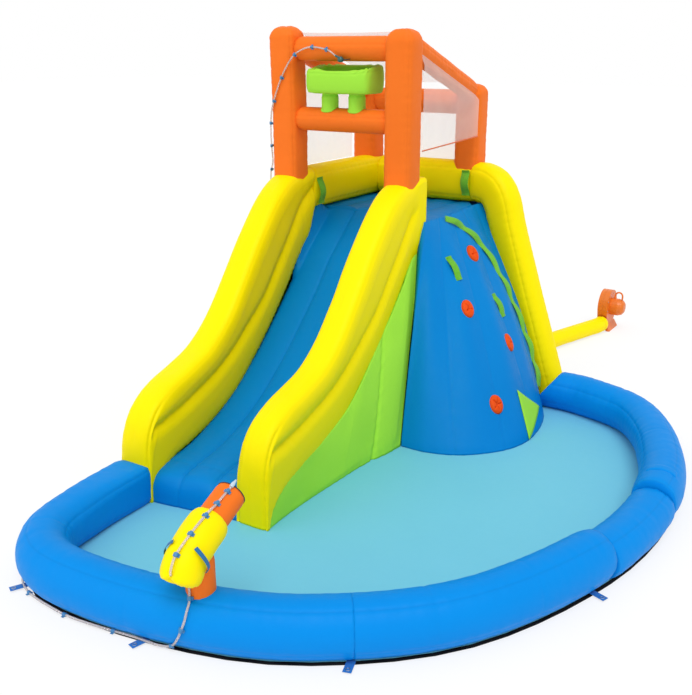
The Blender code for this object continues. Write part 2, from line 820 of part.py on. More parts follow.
def make_nets():
    half = POST_SIDE / 2
    inner_y = POST_Y - half - 2 * GAP
    side_corners = {"net_right": (1, 1.845, 1.870), "net_left": (-1, 1.70, 1.70)}
    for name, (sign, front_z, back_z) in side_corners.items():
        low, high = half - NET_THICKNESS, SIDE_NET_TOP_REACH
        places = ((-inner_y, high, side_net_top(-inner_y)), (-inner_y, low, front_z),
                  (inner_y, low, back_z), (inner_y, high, side_net_top(inner_y)))
        outline = [(frame_x(sign, y) + sign * reach, y, z) for y, reach, z in places]
        make_net(name, outline, (NET_THICKNESS, 0, 0))
    left, right = frame_x(-1, POST_Y) + half - NET_TUCK, frame_x(1, POST_Y) - half + NET_TUCK
    y = POST_Y + half + GAP
    make_net("net_back", [(left, y, 2.08), (left, y, 1.70), (right, y, 1.70), (right, y, 2.08)],
             (0, NET_THICKNESS, 0))
    return make_roof_net()


def side_net_top(y):
    """Where a side net meets the underside of the sloped tube above it."""
    middle = np.interp(y, [-POST_Y, POST_Y], [SLOPE_FRONT_Z, SLOPE_BACK_Z])
    drop = math.sqrt(SLOPE_RADIUS ** 2 - SIDE_NET_TOP_REACH ** 2)
    return middle - drop * 1.05 - NET_THICKNESS * 1.5


def make_net(name, outline, push):
    """A flat net sheet over the outline's corners."""
    bm = bmesh.new()
    face = bm.faces.new([bm.verts.new(p) for p in outline])
    grown = bmesh.ops.extrude_face_region(bm, geom=[face])
    moved = [g for g in grown["geom"] if isinstance(g, bmesh.types.BMVert)]
    bmesh.ops.translate(bm, vec=push, verts=moved)
    split_quads(bm)
    bmesh.ops.recalc_face_normals(bm, faces=bm.faces)
    mesh = bpy.data.meshes.new(name)
    bm.to_mesh(mesh)
    bm.free()
    return add_part(name, mesh, "net_white")


def make_roof_net():
    """The net over the top sags between the two sloped tubes."""
    grid = []
    for y in np.linspace(-POST_Y + ROOF_NET_END, POST_Y - ROOF_NET_END, 5):
        z = np.interp(y, [-POST_Y, POST_Y], [SLOPE_FRONT_Z, SLOPE_BACK_Z]) + ROOF_NET_RISE
        left, right = frame_x(-1, y) + ROOF_NET_INSET, frame_x(1, y) - ROOF_NET_INSET
        row = []
        for t in np.linspace(-1, 1, 7):
            x = left + (right - left) * (t + 1) / 2
            row.append((x, y, z - ROOF_NET_SAG * (1 - t ** 2)))
        grid.append(row)
    return shell("net_roof", grid, NET_THICKNESS, (0, 0, 1), "net_white")


def make_bucket():
    """A green inflated trough on two round legs, sewn over the lower cross tube."""
    body = box("tipping_bucket",
               (-BUCKET_HALF_LENGTH, BUCKET_FRONT_Y, BUCKET_BOTTOM_Z),
               (BUCKET_HALF_LENGTH, BUCKET_BACK_Y, BUCKET_TOP_Z),
               "panel_lime", bevel=BUCKET_ROUND, segments=3)
    hollow = box("bucket_hollow",
                 (-BUCKET_HALF_LENGTH + BUCKET_WALL, BUCKET_FRONT_Y + BUCKET_WALL,
                  BUCKET_BOTTOM_Z + BUCKET_WALL),
                 (BUCKET_HALF_LENGTH - BUCKET_WALL, BUCKET_BACK_Y - BUCKET_WALL,
                  BUCKET_TOP_Z + 0.10), "panel_lime", bevel=0.02, segments=2)
    combine(body, hollow, "DIFFERENCE")
    raise_back_rim(body)
    for x in (-BUCKET_LEG_X, BUCKET_LEG_X):
        leg = cylinder("bucket_leg", (x, BUCKET_LEG_Y, 2.13), BUCKET_LEG_RADIUS, 0.20,
                       (0, 0, 1), "panel_lime", sides=16)
        join(body, leg)
    socket = cylinder("leg_socket", (0, -POST_Y, LOWER_CROSS_Z), CROSS_RADIUS + 0.0015, 0.8,
                      (1, 0, 0), "panel_lime", sides=32)
    combine(body, socket, "DIFFERENCE")
    return keep_largest(body)


def raise_back_rim(body):
    """The trough's back wall stands a little higher than its front."""
    middle = (BUCKET_BOTTOM_Z + BUCKET_TOP_Z) / 2
    for vert in body.data.vertices:
        if vert.co.z > middle:
            share = (vert.co.y - BUCKET_FRONT_Y) / (BUCKET_BACK_Y - BUCKET_FRONT_Y)
            height = (vert.co.z - middle) / (BUCKET_TOP_Z - middle)
            vert.co.z += BUCKET_BACK_RISE * share * height


def make_sprayer(upper_cross):
    """A small spray head under the upper cross tube's front, over the trough."""
    profile = [(0.0, 0.018), (0.012, 0.018), (0.020, 0.006), (0.020, -0.010), (0.010, -0.014),
               (0.0, -0.014)]
    head = turned("bucket_sprayer", profile, "sprayer_teal", steps=12)
    for vert in head.data.vertices:
        vert.co += Vector(SPRAYER_PLACE)
    return trim(head, upper_cross)


BUCKET_HOSE_ROUTE = [
    (-0.590, -0.610, 0.014), (-0.602, -0.600, 0.20), (-0.604, -0.600, 0.80),
    (-0.604, -0.610, 1.30), (-0.612, -0.606, 1.60), (-0.590, -0.606, 1.72),
    (-0.5640, -0.650, 1.84), (-0.5620, -0.655, 1.99), (-0.520, -0.6830, 2.12),
    (-0.441, -0.6840, 2.302), (-0.350, -0.6820, 2.435), (-0.270, -0.6660, 2.490),
    (-0.188, -0.6590, 2.503), (-0.075, -0.6600, 2.485), (-0.010, -0.6640, 2.450),
]

# The cannon's hose from the inlet to the ring's foot, then up the ring and the cannon's post
CANNON_HOSE_START = [(-0.560, -0.660, HOSE_REST_Z), (-0.470, -1.40, HOSE_REST_Z),
                     (-0.360, -2.30, HOSE_REST_Z)]
CANNON_HOSE_CLIMB = [
    (0.800, -3.532, HOSE_REST_Z), (0.920, -3.519, HOSE_REST_Z), (0.985, -3.506, 0.030),
    (1.042, -3.5235, 0.098), (1.063, -3.5200, 0.146), (1.0725, -3.5070, 0.185),
    (1.0700, -3.4860, 0.2215), (1.0590, -3.4540, 0.252), (1.0530, -3.4445, 0.290),
    (1.0520, -3.4440, 0.340), (1.0520, -3.4440, 0.395),
]
# Round the cannon: how far along it, degrees from its top, height over its centre line
CANNON_TOP_HOSE = [
    (0.075, 5, 0.082), (0.13, 6, 0.1005), (0.21, 6, 0.1005), (0.38, 14, 0.1005),
    (0.57, 19, 0.1005), (0.66, 20, 0.096), (0.725, 20, 0.084), (0.765, 20, 0.0805),
    (0.93, 24, 0.0805), (1.0, 25, 0.0805),
]
CANNON_STRAPS = {"cannon_handle_left": ((0.29, -25), (0.18, -100)),
                 "cannon_handle_right": ((0.30, 42), (0.18, 115))}
RING_FOOT_OFFSET = 0.108
HOSE_RING_STATIONS = (2, 5, 7)


def cannon_hose_route():
    """From the inlet along the tower, round the ring's outer foot and up to the cannon."""
    path = ring_path()
    tangents = np.gradient(path, axis=0)
    tangents /= np.linalg.norm(tangents, axis=1)[:, None]
    route = list(CANNON_HOSE_START)
    for station in HOSE_RING_STATIONS:
        tangent = tangents[station]
        outward = np.array([tangent[1], -tangent[0], 0.0])
        point = path[station] + outward * RING_FOOT_OFFSET
        route.append((point[0], point[1], HOSE_REST_Z))
    return route + CANNON_HOSE_CLIMB


def over_cannon(along, degrees, height):
    """A point round the cannon, from its tail (0) to its muzzle (1)."""
    count = 61
    path = smooth_through(cannon_centreline() + [cannon_muzzle()], count)
    tangents = np.gradient(path, axis=0)
    where = np.linspace(0.0, 1.0, count)
    point = np.array([np.interp(along, where, path[:, k]) for k in range(3)])
    tangent = np.array([np.interp(along, where, tangents[:, k]) for k in range(3)])
    across = cannon_across()
    up = np.cross(across, tangent / np.linalg.norm(tangent))
    angle = math.radians(degrees)
    return point + (up * math.cos(angle) + across * math.sin(angle)) * height


def cannon_top_hose_route():
    """Out of the cannon's tail and along the top of its body and barrel."""
    return [over_cannon(*place) for place in CANNON_TOP_HOSE]


def make_hose(name, route, samples, neighbours=()):
    points = smooth_through(route, samples)
    hose = tube(name, [tuple(p) for p in points], HOSE_RADIUS, "hose_clear", 2)
    return trim(hose, *neighbours) if neighbours else hose


def cannon_direction(elevation):
    c = math.cos(math.radians(elevation))
    return np.array([-math.sin(CANNON_AZIMUTH) * c, math.cos(CANNON_AZIMUTH) * c,
                     math.sin(math.radians(elevation))])


def cannon_across():
    return np.array([math.cos(CANNON_AZIMUTH), math.sin(CANNON_AZIMUTH), 0.0])


def cannon_centreline():
    """Centre of the cannon's body from its drooping tail to its front."""
    pivot = np.array([CANNON_X, CANNON_Y, CANNON_PIVOT_Z + 0.112])
    front = pivot + cannon_direction(CANNON_ELEVATION) * 0.115
    tail = pivot - cannon_direction(34) * 0.110
    end = tail - cannon_direction(58) * 0.095
    return [end, tail, pivot, front]


def cannon_muzzle():
    return cannon_centreline()[-1] + cannon_direction(CANNON_ELEVATION) * CANNON_BARREL_LENGTH


def make_cannon(ring_left):
    seat = cylinder("cannon_seat", (CANNON_X, CANNON_Y, CANNON_SEAT_Z + 0.1),
                    CANNON_POST_RADIUS + 0.002, 0.2, (0, 0, 1), "frame_orange", sides=32)
    combine(ring_left, seat, "DIFFERENCE")
    keep_largest(ring_left)
    profile = [(0.0, CANNON_PIVOT_Z + CANNON_POST_RADIUS)]
    for angle in (75, 60, 45, 30, 15, 0):
        profile.append((CANNON_POST_RADIUS * math.cos(math.radians(angle)),
                        CANNON_PIVOT_Z + CANNON_POST_RADIUS * math.sin(math.radians(angle))))
    profile += [(CANNON_POST_RADIUS, CANNON_SEAT_Z + 0.002), (0.0, CANNON_SEAT_Z + 0.002)]
    post = turned("cannon_base", profile, "frame_orange", steps=24)
    for vert in post.data.vertices:
        vert.co.x += CANNON_X
        vert.co.y += CANNON_Y
    body = make_cannon_body()
    barrel = make_cannon_barrel(body)
    return post, body, barrel


def make_cannon_body():
    path = smooth_through(cannon_centreline(), 12)
    total = float(np.sum(np.linalg.norm(np.diff(path, axis=0), axis=1)))
    section = rounded_section(CANNON_BODY_RADIUS, CANNON_BODY_RADIUS, 2.0, 16)
    round_off = rounded_ends(section, total, CANNON_END_ROUND)
    rings = sweep_rings(path, round_off, side=cannon_across())
    body = loft("cannon_body", rings, "tower_yellow")
    pivot = Vector((CANNON_X, CANNON_Y, CANNON_PIVOT_Z))
    radius = CANNON_POST_RADIUS + CANNON_POCKET_GAP
    bpy.ops.mesh.primitive_uv_sphere_add(segments=24, ring_count=12, radius=radius, location=pivot)
    combine(body, primitive_part("cannon_pocket", "tower_yellow"), "DIFFERENCE")
    for tilt in CANNON_POCKET_TILTS:
        down = Vector((0, math.sin(math.radians(tilt)), -math.cos(math.radians(tilt))))
        slot = cylinder("cannon_slot", pivot + down * 0.1, radius, 0.2, down, "tower_yellow")
        combine(body, slot, "DIFFERENCE")
        behind = pivot - Vector(cannon_direction(0)) * CANNON_HOSE_ROOM
        slot = cylinder("hose_slot", behind + down * 0.085, radius, 0.23, down, "tower_yellow")
        combine(body, slot, "DIFFERENCE")
    return keep_largest(body)


def make_cannon_barrel(body):
    direction = cannon_direction(CANNON_ELEVATION)
    start, end = cannon_centreline()[-1] - direction * 0.012, cannon_muzzle()
    barrel = tube("cannon_barrel", [tuple(start), tuple(end)], CANNON_BARREL_RADIUS,
                  "frame_orange", 6)
    bore_from, bore_to = end - direction * CANNON_BORE_DEPTH, end + direction * 0.05
    bore = tube("cannon_bore", [tuple(bore_from), tuple(bore_to)],
                CANNON_BARREL_RADIUS - CANNON_BARREL_WALL, "frame_orange", 4)
    combine(barrel, bore, "DIFFERENCE")
    return trim(barrel, body)


def make_cannon_handle(name, body):
    """A webbing loop over one flank of the cannon's body."""
    (start, from_angle), (end, to_angle) = CANNON_STRAPS[name]
    points = []
    for t in np.linspace(0.0, 1.0, 9):
        bow = 0.006 + 0.022 * math.sin(math.pi * t)
        points.append(over_cannon(start + (end - start) * t,
                                  from_angle + (to_angle - from_angle) * t,
                                  CANNON_BODY_RADIUS + bow))
    strap = strap_along(name, points, cannon_direction(34), 0.018, 0.002, "strap_blue")
    return trim(strap, body)


def strap_along(name, points, width_dir, width, thickness, finish):
    """A flat strap whose width lies along a given direction."""
    rings = []
    pts = np.array(points)
    tangents = np.gradient(pts, axis=0)
    width_dir = np.array(width_dir) / np.linalg.norm(width_dir)
    for point, tangent in zip(pts, tangents):
        tangent = tangent / np.linalg.norm(tangent)
        normal = np.cross(width_dir, tangent)
        normal /= np.linalg.norm(normal)
        rings.append([
            point + width_dir * width / 2 * a + normal * thickness / 2 * b
            for a, b in ((1, 1), (-1, 1), (-1, -1), (1, -1))])
    return loft(name, rings, finish)


def climb_frame(u, v):
    """A place on the climbing wall: point, outward normal, along and up directions."""
    def point(u, v):
        low = np.array([*CLIMB_FLOOR_LINE[int(round(u * 200))], STANDING_Z])
        high = CLIMB_TOP_LINE[int(round(u * 200))]
        push = CLIMB_BULGE * math.sin(math.pi * v) + CLIMB_FLUTE
        return low + (high - low) * v + np.array(climb_outward(u)) * push
    here = point(u, v)
    along = point(min(u + 0.02, 1), v) - point(max(u - 0.02, 0), v)
    up = point(u, v + 0.02) - point(u, v - 0.02)
    along /= np.linalg.norm(along)
    up /= np.linalg.norm(up)
    normal = np.cross(along, up)
    return here, normal / np.linalg.norm(normal), along, up


# Grips and handles on the climbing wall, as (round the fan, up the wall)
GRIP_PLACES = [(0.49, 0.80), (0.33, 0.58), (0.57, 0.39), (0.39, 0.18)]
WALL_HANDLE_PLACES = [(0.28, 0.76), (0.58, 0.55)]
GRIP_RADIUS = 0.055
GRIP_PROUD = 0.022
STRAP_PLACES = [
    (0.28, 0.985), (0.48, 0.92), (0.64, 0.82), (0.71, 0.67), (0.79, 0.53), (0.84, 0.36),
    (0.87, 0.24), (0.84, 0.15),
]


def make_grips(wall):
    for number, (u, v) in enumerate(GRIP_PLACES, 1):
        point, normal, _, _ = climb_frame(u, v)
        profile = [(0.0, GRIP_PROUD), (0.020, GRIP_PROUD - 0.002), (0.040, GRIP_PROUD - 0.009),
                   (GRIP_RADIUS, 0.0), (GRIP_RADIUS, -0.030), (0.0, -0.030)]
        grip = turned(f"climb_grip_{number}", profile, "frame_orange", steps=16)
        turn = Vector((0, 0, 1)).rotation_difference(Vector(normal)).to_matrix().to_4x4()
        turn.translation = Vector(point)
        trim(move(grip, turn), wall)


def bowed_strap(name, start, end, normal, bow, width, wall):
    """A strap sewn down at both ends that stands off in the middle."""
    start, end = np.array(start), np.array(end)
    points = []
    for t in np.linspace(0, 1, 9):
        lift = 0.004 + bow * math.sin(math.pi * t)
        points.append(start + (end - start) * t + np.array(normal) * lift)
    direction = np.cross(end - start, normal)
    strap = strap_along(name, points, direction, width, 0.003, "strap_green")
    return trim(strap, *wall)


def make_wall_handles(wall):
    for number, (u, v) in enumerate(WALL_HANDLE_PLACES, 1):
        point, normal, along, up = climb_frame(u, v)
        slant = up * 0.098 - along * 0.035
        bowed_strap(f"wall_handle_{number}", point + slant, point - slant, normal, 0.030,
                    0.036, (wall,))


def make_rail_handles(left, back):
    bowed_strap("rail_handle_left", (-POST_X + 0.108, -0.372, 1.600),
                (-POST_X + 0.108, -0.350, 1.405), (1, 0, 0), 0.03, 0.038, (left,))
    bowed_strap("rail_handle_back", (0.440, POST_Y - 0.116, 1.615),
                (0.448, POST_Y - 0.116, 1.425), (0, -1, 0), 0.03, 0.044, (back,))


def make_climbing_strap(wall, neighbours):
    """One long strap, sewn down between loops that a hand can grip."""
    points = []
    frames = [climb_frame(u, v) for u, v in STRAP_PLACES]
    for a, b in zip(frames, frames[1:]):
        for t in np.linspace(0, 1, 6, endpoint=False):
            lift = 0.006 + 0.028 * math.sin(math.pi * t)
            normal = a[1] + (b[1] - a[1]) * t
            points.append(a[0] + (b[0] - a[0]) * t + normal * lift)
    points.append(frames[-1][0] + frames[-1][1] * 0.006)
    normal = sum(frame[1] for frame in frames)
    run = points[-1] - points[0]
    strap = strap_along("climbing_strap", points, np.cross(run, normal), 0.040, 0.003,
                        "strap_green")
    return trim(strap, wall, *neighbours)


# Ground anchor tabs at the ring's outer edge: plan place and outward direction
ANCHOR_TABS = {
    "anchor_tab_front_left": ((0.045, -3.500), (-0.45, -0.89)),
    "anchor_tab_front": ((0.840, -3.495), (-0.25, -0.97)),
    "anchor_tab_front_right": ((1.680, -3.135), (0.30, -0.95)),
    "anchor_tab_right": ((2.375, -2.085), (0.94, -0.34)),
}


def make_anchor_tabs(ring_parts):
    for name, (place, outward) in ANCHOR_TABS.items():
        out = np.array([*outward, 0.0])
        start = np.array([*place, STANDING_Z + 0.0013])
        points = [start, start + out * 0.045, start + out * 0.09]
        tab = strap_along(name, points, (out[1], -out[0], 0.0), 0.040, 0.0022, "pool_blue")
        trim(tab, *ring_parts)


DUCT_ROUTE = [
    (0.668, 0.628, 0.090), (0.80, 1.05, 0.080), (0.95, 1.60, 0.074), (1.065, 1.98, 0.073),
    (1.095, 2.09, 0.073), (1.095, 2.132, 0.073),
]


def make_duct(back):
    points = [tuple(p) for p in smooth_through(DUCT_ROUTE, 14)]
    points[-2] = (BLOWER_X, points[-2][1], points[-2][2])
    duct = tube("air_duct", points, DUCT_RADIUS, "tower_yellow", 4)
    last = (points[-1][0], points[-1][1] + 0.02, points[-1][2])
    bore = tube("duct_bore", points[1:-1] + [last], DUCT_RADIUS - DUCT_WALL, "tower_yellow", 4)
    combine(duct, bore, "DIFFERENCE")
    return trim(duct, back)


def scroll_outline(inset):
    """The blower's spiral in (y, z) about its axis, with the outlet at the front bottom."""
    turn = 285.0
    points = []
    for k in range(31):
        phi = turn * k / 30
        radius = SCROLL_RADIUS + (SCROLL_SMALL_RADIUS - SCROLL_RADIUS) * phi / turn - inset
        angle = math.radians(-90 + phi)
        points.append((radius * math.cos(angle), radius * math.sin(angle)))
    tongue_z = -0.104 - inset
    front = -0.165
    points.append((-0.115, tongue_z))
    points.append((front - (0.01 if inset else 0.0), tongue_z))
    points.append((front - (0.01 if inset else 0.0), -SCROLL_RADIUS + inset))
    return points


def scroll_prism(name, inset, low_x, high_x):
    outline = scroll_outline(inset)
    bm = bmesh.new()
    verts = [bm.verts.new((low_x, BLOWER_Y + y, BLOWER_Z + z)) for y, z in outline]
    face = bm.faces.new(verts)
    grown = bmesh.ops.extrude_face_region(bm, geom=[face])
    moved = [g for g in grown["geom"] if isinstance(g, bmesh.types.BMVert)]
    bmesh.ops.translate(bm, vec=(high_x - low_x, 0, 0), verts=moved)
    bmesh.ops.recalc_face_normals(bm, faces=bm.faces)
    mesh = bpy.data.meshes.new(name)
    bm.to_mesh(mesh)
    bm.free()
    return add_part(name, mesh, "blower_orange")


def make_blower_foot(name, x):
    foot = box(name, (x - 0.016, BLOWER_Y - 0.115, 0.0), (x + 0.016, BLOWER_Y + 0.135, 0.060),
               "blower_orange")
    for vert in foot.data.vertices:
        if vert.co.z < 0.01:
            vert.co.x += math.copysign(0.035, x - BLOWER_X)
    return foot


def make_blower():
    half = SCROLL_WIDTH / 2
    wall = SCROLL_WALL
    left = scroll_prism("blower_housing_left", 0.0, BLOWER_X - half, BLOWER_X - GAP)
    inner = scroll_prism("scroll_inner", wall, BLOWER_X - half + wall, BLOWER_X + 0.02)
    combine(left, inner, "DIFFERENCE")
    for k in range(6):
        angle = 2 * math.pi * k / 6
        place = (BLOWER_X - half, BLOWER_Y + 0.045 * math.cos(angle),
                 BLOWER_Z + 0.045 * math.sin(angle))
        hole = cylinder("intake_hole", place, 0.014, 0.04, (1, 0, 0), "blower_orange", sides=10)
        combine(left, hole, "DIFFERENCE")
    join(left, make_blower_foot("foot_left", BLOWER_X - half + 0.017))

    right = scroll_prism("blower_housing_right", 0.0, BLOWER_X + GAP, BLOWER_X + half)
    inner = scroll_prism("scroll_inner", wall, BLOWER_X - 0.02, BLOWER_X + half - wall)
    combine(right, inner, "DIFFERENCE")
    hole = cylinder("shaft_hole", (BLOWER_X + half, BLOWER_Y, BLOWER_Z), 0.012, 0.04, (1, 0, 0),
                    "blower_orange", sides=12)
    combine(right, hole, "DIFFERENCE")
    join(right, make_blower_foot("foot_right", BLOWER_X + half - 0.017))
    make_motor_cover(half)
    make_motor(half)
    make_impeller(half)
    return left, right


def along_x(profile, name, finish, x, steps=24):
    """Turn a profile of (radius, distance) about the blower's axis."""
    obj = turned(name, profile, finish, steps)
    for vert in obj.data.vertices:
        px, py, pz = vert.co
        vert.co = (x + pz, BLOWER_Y + px, BLOWER_Z + py)
    return keep_largest(obj)


def make_motor_cover(half):
    """A round cup over the motor, with the carrying handle on top."""
    r, d, w = MOTOR_COVER_RADIUS, MOTOR_COVER_DEPTH, 0.004
    profile = [(0.0, d), (r * 0.55, d - 0.004), (r * 0.85, d - 0.022), (r, d - 0.055), (r, GAP),
               (r - w, GAP), (r - w, d - 0.056), (r * 0.83, d - 0.026), (r * 0.54, d - 0.009),
               (0.0, d - 0.006)]
    cover = along_x(profile, "blower_motor_cover", "blower_orange", BLOWER_X + half)
    top = BLOWER_Z + r
    start = BLOWER_X + half + 0.028
    arch = [(start, BLOWER_Y, top - 0.008), (start + 0.002, BLOWER_Y, top + 0.035),
            (start + 0.020, BLOWER_Y, top + 0.058), (start + 0.048, BLOWER_Y, top + 0.058),
            (start + 0.066, BLOWER_Y, top + 0.035), (start + 0.066, BLOWER_Y, top - 0.010)]
    grip = tube("handle_grip", [tuple(p) for p in smooth_through(arch, 11)], 0.008,
                "blower_orange", 2)
    hollow = cylinder("cover_hollow", (start + 0.02, BLOWER_Y, BLOWER_Z), r - w - 0.0001, 0.11,
                      (1, 0, 0), "blower_orange", sides=24)
    combine(grip, hollow, "DIFFERENCE")
    return join(cover, keep_largest(grip))


def make_cannon_nozzle(hose, barrel):
    """The pale spray tip that the cannon's hose ends in, over the barrel's rim."""
    profile = [(0.0, 0.034), (0.004, 0.034), (0.007, 0.020), (0.0095, 0.012), (0.0095, -0.008),
               (0.0, -0.008)]
    tip = turned("cannon_nozzle", profile, "nozzle_pale", steps=14)
    direction = Vector(cannon_direction(CANNON_ELEVATION))
    turn = Vector((0, 0, 1)).rotation_difference(direction).to_matrix().to_4x4()
    turn.translation = Vector(cannon_top_hose_route()[-1]) + direction * 0.002
    return trim(move(tip, turn), hose, barrel)


def make_motor(half):
    """The motor's can, with a bore for the impeller's shaft."""
    profile = [(0.055, 0.090), (0.055, 0.006), (0.007, 0.006), (0.007, 0.090), (0.055, 0.090)]
    return along_x(profile, "blower_motor", "motor_steel", BLOWER_X + half, steps=20)


def make_impeller(half):
    """A paddle wheel on its shaft, turning inside the scroll."""
    paddles = 10
    outline = []
    for k in range(paddles):
        middle = 2 * math.pi * k / paddles
        for radius, offset in ((0.030, -0.16), (0.100, -0.03), (0.100, 0.03), (0.030, 0.16)):
            outline.append((radius * math.cos(middle + offset), radius * math.sin(middle + offset)))
    bm = bmesh.new()
    verts = [bm.verts.new((BLOWER_X - 0.032, BLOWER_Y + y, BLOWER_Z + z)) for y, z in outline]
    face = bm.faces.new(verts)
    grown = bmesh.ops.extrude_face_region(bm, geom=[face])
    moved = [g for g in grown["geom"] if isinstance(g, bmesh.types.BMVert)]
    bmesh.ops.translate(bm, vec=(0.064, 0, 0), verts=moved)
    bmesh.ops.recalc_face_normals(bm, faces=bm.faces)
    mesh = bpy.data.meshes.new("blower_impeller")
    bm.to_mesh(mesh)
    bm.free()
    wheel = add_part("blower_impeller", mesh, "blower_dark")
    shaft = cylinder("shaft", (BLOWER_X + 0.060, BLOWER_Y, BLOWER_Z), 0.005, 0.150, (1, 0, 0),
                     "motor_steel", sides=10)
    return join(wheel, shaft)


def set_origins():
    """Put each moving piece's origin on the axis that it turns about."""
    pivot = (CANNON_X, CANNON_Y, CANNON_PIVOT_Z)
    axes = {"tipping_bucket": (0.0, -POST_Y, LOWER_CROSS_Z),
            "blower_impeller": (BLOWER_X, BLOWER_Y, BLOWER_Z)}
    for name in ("cannon_base", "cannon_body", "cannon_barrel", "cannon_handle_left",
                 "cannon_handle_right", "cannon_nozzle", "cannon_hose_upper"):
        axes[name] = pivot
    for name, place in axes.items():
        obj = PARTS.objects[name]
        obj.data.transform(Matrix.Translation(-Vector(place)))
        obj.location = place


def build():
    clear_scene()
    make_flat_sheet("ground_sheet", ground_outline(SHEET_MARGIN), 0.0, SHEET_THICKNESS,
                    "ground_black")
    make_flat_sheet("pool_floor", ground_outline(SHEET_MARGIN - 0.02), FLOOR_BOTTOM,
                    FLOOR_TOP - FLOOR_BOTTOM, "pool_floor_cyan")
    ring = make_pool_ring()
    wall_left = make_slide_wall("slide_wall_left", -1)
    wall_right = make_slide_wall("slide_wall_right", 1)
    rail_left, rail_back, side_tube, side_route = make_rails()
    climb = trim(make_climbing_wall(), wall_right, rail_back, side_tube)
    trim(ring["pool_wall_right"], side_tube, climb)
    bed = trim(make_slide_bed(), wall_left, wall_right, rail_left)
    trim(ring["pool_wall_left"], wall_left, bed)
    trim(make_side_panel_right(), wall_right, bed, climb)
    back = trim(make_back_panel(side_route), rail_left, rail_back, side_tube,
                ring["pool_wall_right"], climb)
    panel_left = trim(make_side_panel_left(), wall_left, rail_left, bed, back)
    make_deck(bed, climb)

    posts = make_posts()
    tubes = make_frame_tubes(posts)
    trim(posts["post_front_left"], wall_left)
    trim(posts["post_front_right"], wall_right)
    trim(posts["post_back_left"], rail_left, rail_back)
    trim(posts["post_back_right"], rail_back, side_tube)
    trim(make_nets(), *tubes.values(), *posts.values())
    make_bucket()
    sprayer = make_sprayer(tubes["frame_tube_front_top"])

    post, body, barrel = make_cannon(ring["pool_wall_left"])
    handles = [make_cannon_handle(name, body) for name in CANNON_STRAPS]
    make_grips(climb)
    make_wall_handles(climb)
    make_rail_handles(rail_left, rail_back)
    make_climbing_strap(climb, (side_tube, ring["pool_wall_right"]))
    make_anchor_tabs(ring.values())
    make_duct(back)
    make_blower()
    make_hose("bucket_hose", BUCKET_HOSE_ROUTE, 32,
              (wall_left, rail_left, posts["post_front_left"], tubes["frame_tube_front_top"],
               sprayer, panel_left))
    make_hose("cannon_hose", cannon_hose_route(), 40,
              (ring["pool_wall_left"], panel_left, wall_left, post, body))
    upper = make_hose("cannon_hose_upper", cannon_top_hose_route(), 18, (body, barrel, *handles))
    make_cannon_nozzle(upper, barrel)
    set_origins()


build()
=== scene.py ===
"""Looks for the inflatable water park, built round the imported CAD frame.

Every inflated chamber is lofted again here with fine sections, sewn seams and
puckers. Units are metres in the CAD's own frame: +Z up, -Y the way the slide runs.
"""
import math

import bmesh
import bpy
import numpy as np
from mathutils import Matrix, Vector


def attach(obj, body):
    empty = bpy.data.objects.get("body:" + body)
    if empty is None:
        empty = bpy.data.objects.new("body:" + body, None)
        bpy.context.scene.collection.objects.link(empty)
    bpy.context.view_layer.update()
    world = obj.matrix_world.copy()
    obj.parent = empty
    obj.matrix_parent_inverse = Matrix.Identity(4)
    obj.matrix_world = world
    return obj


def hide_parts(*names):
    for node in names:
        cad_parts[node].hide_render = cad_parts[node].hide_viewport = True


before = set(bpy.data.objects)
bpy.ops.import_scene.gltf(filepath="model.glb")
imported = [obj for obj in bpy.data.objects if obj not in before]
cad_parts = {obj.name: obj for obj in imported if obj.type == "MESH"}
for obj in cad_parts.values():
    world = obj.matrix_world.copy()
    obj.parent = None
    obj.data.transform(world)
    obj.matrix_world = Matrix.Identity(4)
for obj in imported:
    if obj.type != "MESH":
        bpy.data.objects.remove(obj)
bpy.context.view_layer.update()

# The camera, solved from the tower's upright and level edges
CAMERA_PLACE = (3.40, -5.8827, 2.4887)
CAMERA_TURN = (math.radians(90.0 - 18.33), 0.0, math.radians(32.513))
CAMERA_LENS = 46.82

# Values that the CAD source also holds
STANDING_Z = 0.0068
POST_X, POST_Y, BACK_POST_SHIFT = 0.455, 0.57, -0.036
POST_HALF = 0.103
POST_TOPS = {"front_left": 2.640, "front_right": 2.615, "back_left": 2.245, "back_right": 2.245}
UPPER_CROSS_Z, LOWER_CROSS_Z, CROSS_RADIUS = 2.493, 2.030, 0.080
BACK_BAR_Z, BACK_BAR_RADIUS, SLOPE_RADIUS = 2.110, 0.090, 0.076
SLOPE_FRONT_Z, SLOPE_BACK_Z = 2.538, 2.175
RAIL_Z, RAIL_HALF_WIDTH, RAIL_HALF_HEIGHT = 1.520, 0.115, 0.155
SIDE_TUBE_HALF = 0.140
DECK_TOP, DECK_THICKNESS = 1.362, 0.055
RING_CENTRE_Z, RING_HALF_WIDTH, RING_HALF_HEIGHT = 0.128, 0.133, 0.140
ENTRY_HALF_WIDTH, ENTRY_HALF_HEIGHT = 0.118, 0.110
SLIDE_TOP_Y, SLIDE_LENGTH, SLIDE_LEFT_LENGTH = -0.57, 1.905, 2.005
SLIDE_LEFT_DRIFT, SLIDE_RIGHT_DRIFT = 0.309, 0.159
PANEL_THICKNESS = 0.05
HOSE_RADIUS, HOSE_REST_Z = 0.0055, 0.0155
UP = np.array([0.0, 0.0, 1.0])


# Materials

def srgb(colour):
    """Linear colour of an 0-255 sRGB one."""
    return tuple(((c / 255 + 0.055) / 1.055) ** 2.4 if c > 10 else c / 3294.6 for c in colour)


def scaled(colour, factor):
    return tuple(factor * c for c in colour)


def add_node(tree, kind, **settings):
    node = tree.nodes.new(kind)
    for key, value in settings.items():
        if key in node.inputs:
            node.inputs[key].default_value = value
        else:
            setattr(node, key, value)
    return node


